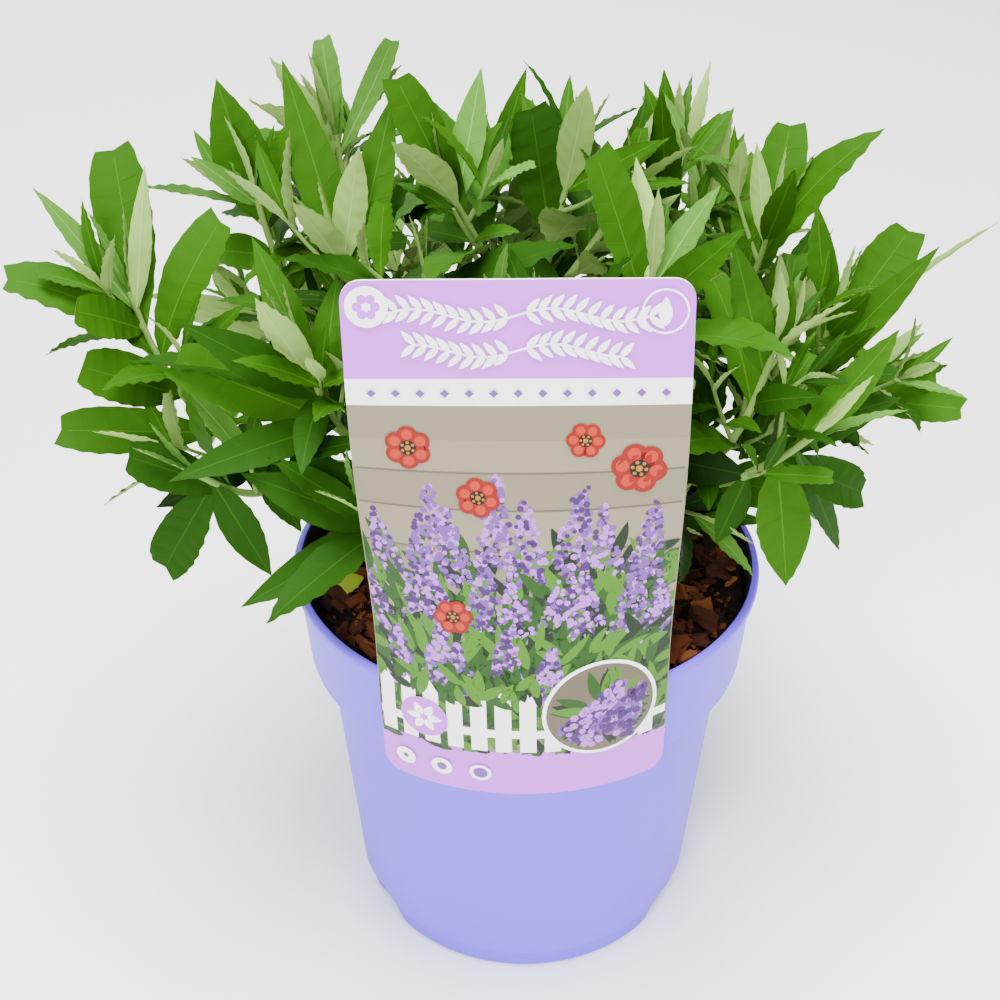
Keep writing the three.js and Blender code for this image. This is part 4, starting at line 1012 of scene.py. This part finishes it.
def shootLeaves(row, line, fromRank=0):
    name, mass, _, _, _, turn, pairs, size, seed = row
    draw = seeded(seed * blade["seedStep"])

    def swing(reach):
        return (2 * draw() - 1) * reach

    leaves = []
    distance = 0.0
    for rank in range(pairs):
        if distance >= line.length - twig["bare"]:
            break
        share, angle, bend, step = ranks[min(rank + fromRank, len(ranks) - 1)]
        at = line.back(distance)
        base, axis = line.at(at), line.way(at)
        first, second = crossAxes(axis)
        for side in (0, 1):
            around = math.radians(turn + 90 * rank + 180 * side + swing(swings["turn"]))
            opening = math.radians(angle + swing(swings["angle"]))
            arc = math.radians(bend + swing(swings["bend"]))
            length = size * share * (1 + swing(swings["length"]))
            grown = min(rank, blade["youngRanks"])
            slim = blade["young"] + (1 - blade["young"]) * grown / blade["youngRanks"]
            half = length * blade["half"] * slim * (1 + swing(swings["width"]))
            chance = draw()
            kept = 1 if chance > blade["shorn"] or rank < 1 else blade["shornLeast"] + chance
            out = first * math.cos(around) + second * math.sin(around)
            direction = axis * math.cos(opening) + out * math.sin(opening)
            face = axis * math.sin(opening) - out * math.cos(opening) + np.array([0, 0, blade["skyward"]])
            lead = next((r for r in leads if r[:3] == (name, rank, side)), None)
            if lead:
                leaf = leadBlade(base, lead)
            else:
                leaf = newBlade(base, direction, face, arc, length, half, kept)
            leaf.update(mass=mass, shoot=name, lead=bool(lead), rank=rank, hand=side, out=out, axis=axis,
                        chance=draw() if fromRank else chance)
            leaves.append(leaf)
        distance += step * blade["fineSteps"] if fromRank else step
    return leaves


def offThePot(leaf):
    for i in range(1, 13):
        share = leaf["kept"] * i / 12
        point, _ = bladeFrame(leaf, share)
        for edge in (-1, 0, 1):
            p = point + leaf["side"] * edge * leaf["half"] * math.sin(math.pi * share)
            out = math.hypot(p[0], p[1])
            inside = out < pot["collarTop"] - pot["wall"] - clearance and p[2] > soilTop + clearance
            if p[2] < rim + clearance and out < pot["lipRadius"] + clearance and not inside:
                return False
    return True


def cardSpace():
    rows, columns, half = 16, 13, label["thick"] / 2
    across = np.linspace(-label["width"] / 2, label["width"] / 2, columns)
    heights = np.linspace(-label["below"], label["above"], rows)
    points, faces = [], []
    for offset, height in itertools.product((half, -half), heights):
        points += list(onLabel(across, np.full(columns, height), offset) / mm)
    for level, r, c in itertools.product((0, rows), range(rows - 1), range(columns - 1)):
        a = (level + r) * columns + c
        faces += [(a, a + 1, a + columns + 1), (a, a + columns + 1, a + columns)]
    return Space("label", "", points, np.array(faces), np.array(edgesOf(faces)))


def grow():
    crowd = Crowd([cardSpace(), spaceOf("main_stem", "", stemRings())])
    boughs, lines, leaves, twigs = [], {}, [], []
    for name, fork, tip in masses:
        first = next(row for row in shoots if row[1] == name)
        way = unit(np.array(first[3], float) - tip)
        if fork:
            foot = stemFoot + (stemTip - stemFoot) * (fork - stemFoot[2]) / (stemTip[2] - stemFoot[2])
            reach = np.linalg.norm(np.array(tip) - foot) * bough["springback"]
            line = Line(foot, np.array(tip) - way * reach, tip)
            boughs.append(line)
            crowd.add(spaceOf("bough_" + name, "", limbRings(line, bough)))
        foot = np.array(tip) if fork else stemTip
        lines[name] = Line(foot + way * twig["start"], first[3], first[4])
    led = set()
    for row in shoots:
        shoot, mass, share, bend, tip = row[:5]
        line = Line(lines[mass].at(share), bend, tip) if mass in led else lines[mass]
        led.add(mass)
        crowd.add(spaceOf(mass, shoot, limbRings(line, twig, twig["past"])))
        twigs.append((line, twig["foot"], twig["tip"]))
        leaves += shootLeaves(row, line)
    kept, bare = [], []
    for leaf in sorted(leaves, key=lambda one: not one["lead"]):
        def kin(other):
            return other.shoot == leaf["shoot"] or (leaf["lead"] and other.node == leaf["mass"])

        roomy = spaceOf(leaf["mass"], leaf["shoot"], bladeRings(leaf, spare))
        if offThePot(leaf) and not crowd.meets(roomy, kin):
            crowd.add(spaceOf(leaf["mass"], leaf["shoot"], bladeRings(leaf)))
            kept.append(leaf)
        else:
            bare.append(leaf)
    return boughs, twigs, kept, bare, crowd


boughLines, twigLines, crownLeaves, bareAxils, crowd = grow()
print("growth:", len(crownLeaves), "leaves on", len(twigLines), "shoots")

# Finer growth in the leaf axils, within the reach of each mass

axils = {
    "seed": 77, "fromRank": 2, "tries": 4, "length": (10, 30), "angle": (22, 62), "swing": 50, "pairs": 4,
    "leaf": (24, 42), "radius": (1.1, 0.7), "gap": 0.2, "bendAt": 0.5, "beyond": 0.6, "upward": 0.5,
    "firstTurn": 90, "leafSeed": 500, "leastLeaves": 2, "perBough": 7, "onBough": (0.4, 1), "turn": 137.5,
}
sideTwig = {**twig, "foot": axils["radius"][0], "tip": axils["radius"][1]}


def boughEyes():  # places on the boughs where a side shoot can break
    eyes = []
    for (name, _, _), line in zip([row for row in masses if row[1]], boughLines):
        for k, share in enumerate(np.linspace(*axils["onBough"], axils["perBough"])):
            axis = line.way(share)
            first, second = crossAxes(axis)
            turn = math.radians(axils["turn"] * k)
            out = first * math.cos(turn) + second * math.sin(turn)
            eyes.append({"mass": name, "shoot": "bough_" + name, "base": line.at(share), "axis": axis,
                         "out": out})
    return eyes


def sideShoot(draw, leaf, name, seed):  # one try at a side shoot: its line and the row for its leaves
    size, length = draw.uniform(*axils["leaf"]), draw.uniform(*axils["length"])
    angle = math.radians(draw.uniform(*axils["angle"]))
    around = math.radians(draw.normal(0, axils["swing"]))
    out = leaf["out"] * math.cos(around) + np.cross(leaf["axis"], leaf["out"]) * math.sin(around)
    way = leaf["axis"] * math.cos(angle) + out * math.sin(angle)
    middle = leaf["base"] + way * length * axils["bendAt"]
    tip = middle + unit(way + np.array([0, 0, axils["upward"]])) * length * axils["beyond"]
    turn = draw.uniform(0, axils["firstTurn"])
    row = (name, leaf["mass"], 0, None, None, turn, axils["pairs"], size, seed)
    return Line(leaf["base"], middle, tip), row


def growAxils():
    draw = np.random.default_rng(axils["seed"])
    boxes = {row[0]: np.array([corner[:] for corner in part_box("foliage_" + row[0])]) / mm for row in masses}
    fine, added = [], []
    places = [leaf for leaf in crownLeaves + bareAxils if leaf["rank"] >= axils["fromRank"]] + boughEyes()
    for number, leaf in enumerate(places):
        low, high = boxes[leaf["mass"]]
        name = f"{leaf['shoot']}x{number}"
        best = None
        for attempt in range(axils["tries"]):
            seed = axils["leafSeed"] + number * axils["tries"] + attempt
            line, row = sideShoot(draw, leaf, name, seed)
            stalk = spaceOf(leaf["mass"], name, limbRings(line, sideTwig))
            if crowd.meets(stalk, lambda other: leaf["shoot"] in (other.shoot, other.node)):
                continue
            free = []
            for small in shootLeaves(row, line, fromRank=1):
                end, _ = bladeFrame(small, small["kept"])
                within = (end > low).all() and (end < high).all() and offThePot(small)
                grown = spaceOf(leaf["mass"], name, bladeRings(small, axils["gap"]))
                if within and not crowd.meets(grown, lambda other: False):
                    small["fine"] = True
                    free.append(small)
            if best is None or len(free) > len(best[1]):
                best = line, free, stalk
        if best and len(best[1]) >= axils["leastLeaves"]:
            line, free, stalk = best
            fine.append((line, *axils["radius"]))
            crowd.add(stalk)
            for small in free:
                crowd.add(spaceOf(leaf["mass"], name, bladeRings(small)))
            added += free
    return fine, added


fineTwigs, fineLeaves = growAxils()
print("axils:", len(fineLeaves), "small leaves on", len(fineTwigs), "side shoots")


# Limbs

limbs = {
    "stem": {"points": 60, "rounds": 6, "relief": 0.35, "inset": 0.2, "flareTo": 0.15, "flarePoints": 14},
    "bough": {"points": 44, "rounds": 4, "relief": 0.21, "inset": 0.1},
    "shoot": {"points": 18, "rounds": 2, "past": 1.5},
    "side": {"points": 7, "rounds": 1, "past": 0.5},
}
furrows = {"across": 0.9, "along": 0.16, "fine": 0.6, "fineShare": 0.5}


def limbMesh(name, tubes, resolution):  # tubes of [points in mm, radii in mm], made by a bevelled curve
    curve = bpy.data.curves.new(name, "CURVE")
    curve.dimensions = "3D"
    curve.bevel_depth = 1.0
    curve.bevel_resolution = resolution
    curve.use_fill_caps = True
    for points, radii in tubes:
        spline = curve.splines.new("POLY")
        spline.points.add(len(points) - 1)
        for dot, point, radius in zip(spline.points, points, radii):
            dot.co = (*(np.asarray(point) * mm), 1)
            dot.radius = radius * mm
    holder = bpy.data.objects.new(name, curve)
    bpy.context.scene.collection.objects.link(holder)
    mesh = bpy.data.meshes.new_from_object(holder.evaluated_get(bpy.context.evaluated_depsgraph_get()))
    bpy.data.objects.remove(holder)
    mesh.name = name
    return mesh


def barkRelief(mesh, height):  # shallow furrows along the limb
    normals = [v.normal.copy() for v in mesh.vertices]
    for v, normal in zip(mesh.vertices, normals):
        p = v.co / mm
        stretched = Vector((p.x * furrows["across"], p.y * furrows["across"], p.z * furrows["along"]))
        furrow = noise.noise(stretched) + furrows["fineShare"] * noise.noise(p * furrows["fine"])
        v.co += normal * furrow * height * mm
    mesh.update()
    return mesh


def tubeOf(line, foot, tip, count, past=0.0):
    shares = np.linspace(0, 1, count)
    points = [line.at(s) for s in shares]
    points[-1] = points[-1] + line.way(1) * past
    return points, [foot + (tip - foot) * s for s in shares]


def stemTube(setting):
    flare = np.linspace(0, setting["flareTo"], setting["flarePoints"])
    heights = np.concatenate([flare, np.linspace(setting["flareTo"] + 0.02, 1, setting["points"])])
    radii = np.interp(heights, *zip(*stemStops)) - setting["inset"]
    return [stemFoot + (stemTip - stemFoot) * h for h in heights], list(radii)


def barkPiece(name, tubes, setting, nodes):
    mesh = barkRelief(limbMesh(name, tubes, setting["rounds"]), setting["relief"])
    newPiece(name, mesh, [barkSkin], "stem_wood", nodes)


def shootPiece(name, limbsOfIt, setting):
    tubes = [tubeOf(line, foot, tip, setting["points"], setting["past"]) for line, foot, tip in limbsOfIt]
    newPiece(name, limbMesh(name, tubes, setting["rounds"]), [feltSkin], "leaves", crownMasses)


# Young buddleja wood: tan, fibrous and finely furrowed, dull
barkSkin = mottle(plainMaterial("young_bark", "#8C7A58", 0.85), ["#6E5A3C", "#94845F", "#B3A67F"], 260,
                  stretch=(1, 1, 0.22), bump=(700, 0.5, 0.0006))
# New stems: green under a pale felt of fine hairs, so they look whitish at the edges
feltSkin = plainMaterial("felted_stem", "#6C8B44", 0.9, Specular_IOR_Level=0.1)
barkPiece("stem_bark", [stemTube(limbs["stem"])], limbs["stem"], ["main_stem"])
boughFoot = bough["foot"] - limbs["bough"]["inset"]
boughTubes = [tubeOf(line, boughFoot, bough["tip"], limbs["bough"]["points"]) for line in boughLines]
barkPiece("bough_bark", boughTubes, limbs["bough"], boughNodes)
shootPiece("shoots", twigLines, limbs["shoot"])
shootPiece("side_shoots", fineTwigs, limbs["side"])
print("limbs: stem, boughs, shoots and side shoots")


# Leaves

leafForm = {
    "rows": 16, "rise": 0.92, "taper": 1.12, "stalk": 0.09, "fold": 0.24, "dip": 0.7, "thick": 0.35,
    "edgeThick": 0.15, "endThick": 0.5, "wave": 0.5, "waves": 2.3, "lag": 2.1, "phases": 6.28, "sway": 0.05,
    "fullHalf": 8, "leastFull": 0.3, "teeth": 0.022, "cutAt": 0.66, "cutRound": 0.3, "cutSlant": 0.02,
    "cutFrom": 10, "notch": 0.022, "notchFrom": 12, "rib": 0.4, "ribTip": 0.12, "forward": 0.07,
    "quilt": 0.6, "veinRows": (3, 5, 7, 9, 11, 13), "veinReach": (0.04, 0.45, 0.86), "veinHalf": 0.002,
    "veinLeast": 4.5, "lift": 0.1,
}
# Upper sides by tone: new leaves silver, then bright, full green and deep, dealt out with painted light and
# shade
# bright is painted light on leaves far out and high in the crown, deep is painted shade on leaves low and
# inside
leafTones = {
    "silver": ("#4C7A2C", 0.75), "lit_bright": ("#2B550A", 0.6), "green": ("#1C3F07", 0.6),
    "shaded_deep": ("#112805", 0.6),
}
# Veins and midribs follow the same tones, so they carry the same painted light and shade
veinTones = {"silver": "#56863A", "lit_bright": "#315D0E", "green": "#21460A", "shaded_deep": "#152E07"}
ribTones = {"silver": "#649440", "lit_bright": "#3C6A15", "green": "#2A500F", "shaded_deep": "#1B370A"}


def bladeArrays(leaves):
    fields = {key: np.array([leaf[key] for leaf in leaves], float)
              for key in ("base", "direction", "normal", "side", "arc", "length", "half", "kept")}
    fields["phase"] = np.array([leaf["chance"] for leaf in leaves]) * leafForm["phases"]
    free = np.array([0 if leaf["lead"] else leafForm["sway"] for leaf in leaves])
    fields["sway"] = free * fields["length"]
    return fields


def spread(shares):  # half width of a lance-shaped leaf along its length
    peak = leafForm["rise"] / (leafForm["rise"] + leafForm["taper"])
    most = peak ** leafForm["rise"] * (1 - peak) ** leafForm["taper"]
    lance = shares ** leafForm["rise"] * np.maximum(1 - shares, 0) ** leafForm["taper"] / most
    return np.maximum(lance, leafForm["stalk"] * (shares < 0.5))


# Points at shares of each leaf's length and width, or along a rib of a given reach
def onBlades(b, shares, across, lift, teeth=0.0, reach=None, quilt=0.0):
    shares, across = np.asarray(shares, float)[None], np.asarray(across, float)[None]
    kept, phase, half = b["kept"][:, None], b["phase"][:, None], b["half"][:, None]
    shorn = kept < 1
    lean = leafForm["cutSlant"] * np.sign(phase - leafForm["phases"] / 2)
    slant = np.where(shorn, lean * across * shares ** leafForm["cutFrom"], 0)
    notch = np.where(shorn, leafForm["notch"] * (1 - np.abs(across)) * shares ** leafForm["notchFrom"], 0)
    s = shares * kept * (1 - slant - notch)
    turn = b["arc"][:, None] * s
    size = (b["length"] / b["arc"])[:, None]
    rounded = 1 - leafForm["cutRound"] * shares ** leafForm["cutFrom"]
    profile = np.where(shorn, spread(shares * leafForm["cutAt"]) * rounded, spread(shares))
    width = half * profile * (1 + teeth)
    if reach is not None:
        across = np.sign(across) * np.minimum(reach / np.maximum(width, 0.1), 0.5)
    fullness = np.clip(half / leafForm["fullHalf"], leafForm["leastFull"], 1)
    ripple = np.sin(leafForm["waves"] * 2 * np.pi * shares + phase + leafForm["lag"] * (across > 0))
    wave = leafForm["wave"] * fullness * ripple * profile
    height = (leafForm["fold"] * width + wave) * np.abs(across)
    height = height + (quilt - leafForm["dip"]) * fullness + lift
    along, rise = (size * np.sin(turn))[..., None], (size * (1 - np.cos(turn)))[..., None]
    direction, normal = b["direction"][:, None], b["normal"][:, None]
    up = direction * np.sin(turn)[..., None] + normal * np.cos(turn)[..., None]
    middle = b["base"][:, None] + direction * along - normal * rise
    drift = b["sway"][:, None] * np.sin(3 * phase) * s * s
    return middle + b["side"][:, None] * (width * across + drift)[..., None] + up * height[..., None]


def gridFaces(rows, columns, flip):
    faces = []
    for r in range(rows):
        for c in range(columns):
            a = r * (columns + 1) + c
            left, right = a + columns + 1, a + 1
            faces.append((a, right, left + 1, left) if flip else (a, left, left + 1, right))
    return np.array(faces)


def repeated(points, faces):  # one template's faces over every blade's points
    count, size = points.shape[:2]
    starts = np.arange(count)[:, None, None] * size
    return points.reshape(-1, 3), (faces[None] + starts).reshape(-1, faces.shape[1])


def leafMesh(name, leaves):
    b = bladeArrays(leaves)
    rows = leafForm["rows"]
    s, x = (grid.ravel() for grid in np.meshgrid(np.linspace(0, 1, rows + 1), (-1, 0, 1), indexing="ij"))
    row = np.repeat(np.arange(rows + 1), 3)
    inside = (row > 1) & (row < rows)
    s = s + leafForm["forward"] * np.sin(np.pi * s) * np.abs(x)
    comb = np.where(row % 2, 1, -1) * np.abs(x) * inside  # every second row holds a pair of veins
    teeth, quilt = leafForm["teeth"] * comb, -leafForm["quilt"] * comb
    belly = -leafForm["thick"] * np.where(x == 0, 1, leafForm["edgeThick"])
    belly = belly * np.where(inside, 1, leafForm["endThick"])
    top, topFaces = repeated(onBlades(b, s, x, 0, teeth, quilt=quilt), gridFaces(rows, 2, False))
    under, underFaces = repeated(onBlades(b, s, x, belly, teeth, quilt=quilt), gridFaces(rows, 2, True))
    faces = np.concatenate([topFaces, underFaces + len(top)])
    sides = [0] * len(topFaces) + [1] * len(underFaces)
    return arrayMesh(name, np.concatenate([top, under]) * mm, faces, sides)


def veinMesh(name, leaves):
    b = bladeArrays(leaves)
    rows = leafForm["rows"]
    levels = np.linspace(0, 1, rows + 1)[:-1]
    reach = np.repeat(np.interp(levels, (0, 1), (leafForm["rib"], leafForm["ribTip"])), 2)
    s, x = np.repeat(levels, 2), np.tile([-1.0, 1.0], rows)
    below = -leafForm["thick"] - leafForm["lift"]
    strips = [repeated(onBlades(b, s, x, leafForm["lift"], reach=reach), gridFaces(rows - 1, 1, False)),
              repeated(onBlades(b, s, x, below, reach=reach), gridFaces(rows - 1, 1, True))]
    mature = {key: value[b["half"] > leafForm["veinLeast"]] for key, value in b.items()}
    for row in leafForm["veinRows"]:
        start = row / rows
        reach = np.array(leafForm["veinReach"])
        at = start + leafForm["forward"] * math.sin(math.pi * start) * reach
        s = np.stack([at - leafForm["veinHalf"], at + leafForm["veinHalf"]], 1).ravel()
        sunk = -leafForm["quilt"] * np.repeat(reach, 2)
        for side in (-1, 1):
            points = onBlades(mature, s, np.repeat(reach, 2) * side, leafForm["lift"], quilt=sunk)
            strips.append(repeated(points, gridFaces(len(reach) - 1, 1, side < 0)))
    starts = np.cumsum([0] + [len(points) for points, _ in strips])
    faces = [faces + start for (_, faces), start in zip(strips, starts)]
    sides = np.concatenate([[min(i, 2)] * len(part) for i, part in enumerate(faces)])
    points = np.concatenate([points for points, _ in strips])
    return arrayMesh(name, points * mm, np.concatenate(faces), sides)


# Painted light and shade by place: out and up push a leaf towards the bright tone, low and inside towards
# deep; chance adds a random mix
youthAndPaintedLightRule = {
    "new": 0.2, "at": 0.6, "reach": 150, "out": 0.5, "up": 0.75, "from": 200, "chance": 0.55, "mix": 7.3,
    "lit_bright": 0.92, "green": 0.55,
}


# The newest leaves are silver; the rest are bright where painted light falls far out and high up, deep where
# painted shade falls low and inside
def youthAndPaintedLightTone(leaf):
    fine, newest, rule = leaf.get("fine", False), leaf["rank"] == 0, youthAndPaintedLightRule
    if newest and not fine or leaf["rank"] == 1 and leaf["chance"] < rule["new"]:
        return "silver"
    middle, _ = bladeFrame(leaf, rule["at"])
    out, up = math.hypot(middle[0], middle[1]), middle[2] - rule["from"]
    score = rule["out"] * out / rule["reach"] + rule["up"] * up / rule["reach"]
    score += rule["chance"] * (leaf["chance"] * rule["mix"] % 1)
    return "lit_bright" if score > rule["lit_bright"] else "green" if score > rule["green"] else "shaded_deep"


# Underside of a buddleja leaf: a close white felt over green, quite matt
feltUnder = plainMaterial("felted_underside", "#88AA56", 0.9, Specular_IOR_Level=0.1)
feltRib = plainMaterial("felted_rib", "#97B768", 0.9, Specular_IOR_Level=0.1)
byTone = {tone: [] for tone in leafTones}
for leaf in crownLeaves + fineLeaves:
    byTone[youthAndPaintedLightTone(leaf)].append(leaf)
for tone, (colour, roughness) in leafTones.items():
    # Living leaf: a waxy skin over green, so a soft broad shine
    upper = plainMaterial("leaf_" + tone, colour, roughness, IOR=1.45, Specular_IOR_Level=0.06)
    blades = leafMesh("leaves_" + tone, byTone[tone])
    newPiece("leaves_" + tone, blades, [upper, feltUnder], "leaves", crownMasses)
    ribs = plainMaterial("rib_" + tone, ribTones[tone], 0.7, Specular_IOR_Level=0.06)
    veins = plainMaterial("vein_" + tone, veinTones[tone], 0.7, Specular_IOR_Level=0.06)
    lines = veinMesh("ribs_" + tone, byTone[tone])
    newPiece("ribs_" + tone, lines, [ribs, feltRib, veins], "leaves", crownMasses)
dropped = {
    "base": np.array([-66, -12, 166.5]), "direction": unit(np.array([-0.86, -0.5, -0.04])),
    "face": np.array([0.2, -0.4, 1]), "bend": 0.7, "length": 19, "half": 4.4, "kept": 1,
}
fallen = newBlade(**dropped)
fallen.update(chance=0.3, lead=True)
yellowed = plainMaterial("yellowed_leaf", "#8A982E", 0.8, Specular_IOR_Level=0.1)
newPiece("fallen_leaf", leafMesh("fallen_leaf", [fallen]), [yellowed, feltUnder], "leaves")
print("leaves:", {tone: len(group) for tone, group in byTone.items()})


# Stage, light and camera

stage = {"floor": 12.0, "floorColour": "#F4F4F3", "sky": 0.32, "aim": (0, 0, 0.2)}
camera = {"place": (-10.675, -533.2, 554.2), "down": 33.9, "lens": 57.6}

bm = bmesh.new()
bmesh.ops.create_grid(bm, x_segments=1, y_segments=1, size=stage["floor"] / 2)
sweep = plainMaterial("white_sweep", stage["floorColour"], 0.9)
floor = newPiece("studio_floor", meshOf(bm, "studio_floor"), [sweep], None, smooth=False)

lamps = {
    "top": {"place": (0, -0.3, 2.6), "size": 1.7, "power": 205},
    "key": {"place": (-0.6, -1.9, 1.5), "size": 0.9, "power": 75},
    "fill": {"place": (1.5, -0.9, 1.1), "size": 1.5, "power": 20},
    "back": {"place": (-0.5, 2.1, 1.6), "size": 1.6, "power": 45},
}
for name, setting in lamps.items():
    light = bpy.data.lights.new(name, "AREA")
    light.shape, light.size, light.energy = "DISK", setting["size"], setting["power"]
    lamp = bpy.data.objects.new(name, light)
    lamp.location = setting["place"]
    lamp.rotation_euler = (Vector(stage["aim"]) - lamp.location).to_track_quat("-Z", "Y").to_euler()
    bpy.context.scene.collection.objects.link(lamp)

world = bpy.data.worlds.new("studio")
world.use_nodes = True
world.node_tree.nodes["Background"].inputs["Color"].default_value = (1, 1, 1, 1)
world.node_tree.nodes["Background"].inputs["Strength"].default_value = stage["sky"]
bpy.context.scene.world = world

eye = bpy.data.objects.new("eye", bpy.data.cameras.new("eye"))
eye.data.lens, eye.data.sensor_width, eye.data.clip_start = camera["lens"], 36, 0.01
eye.location = np.array(camera["place"]) * mm
eye.rotation_euler = (math.radians(90 - camera["down"]), 0, 0)
bpy.context.scene.collection.objects.link(eye)
bpy.context.scene.camera = eye

print("stage: floor, light and camera")
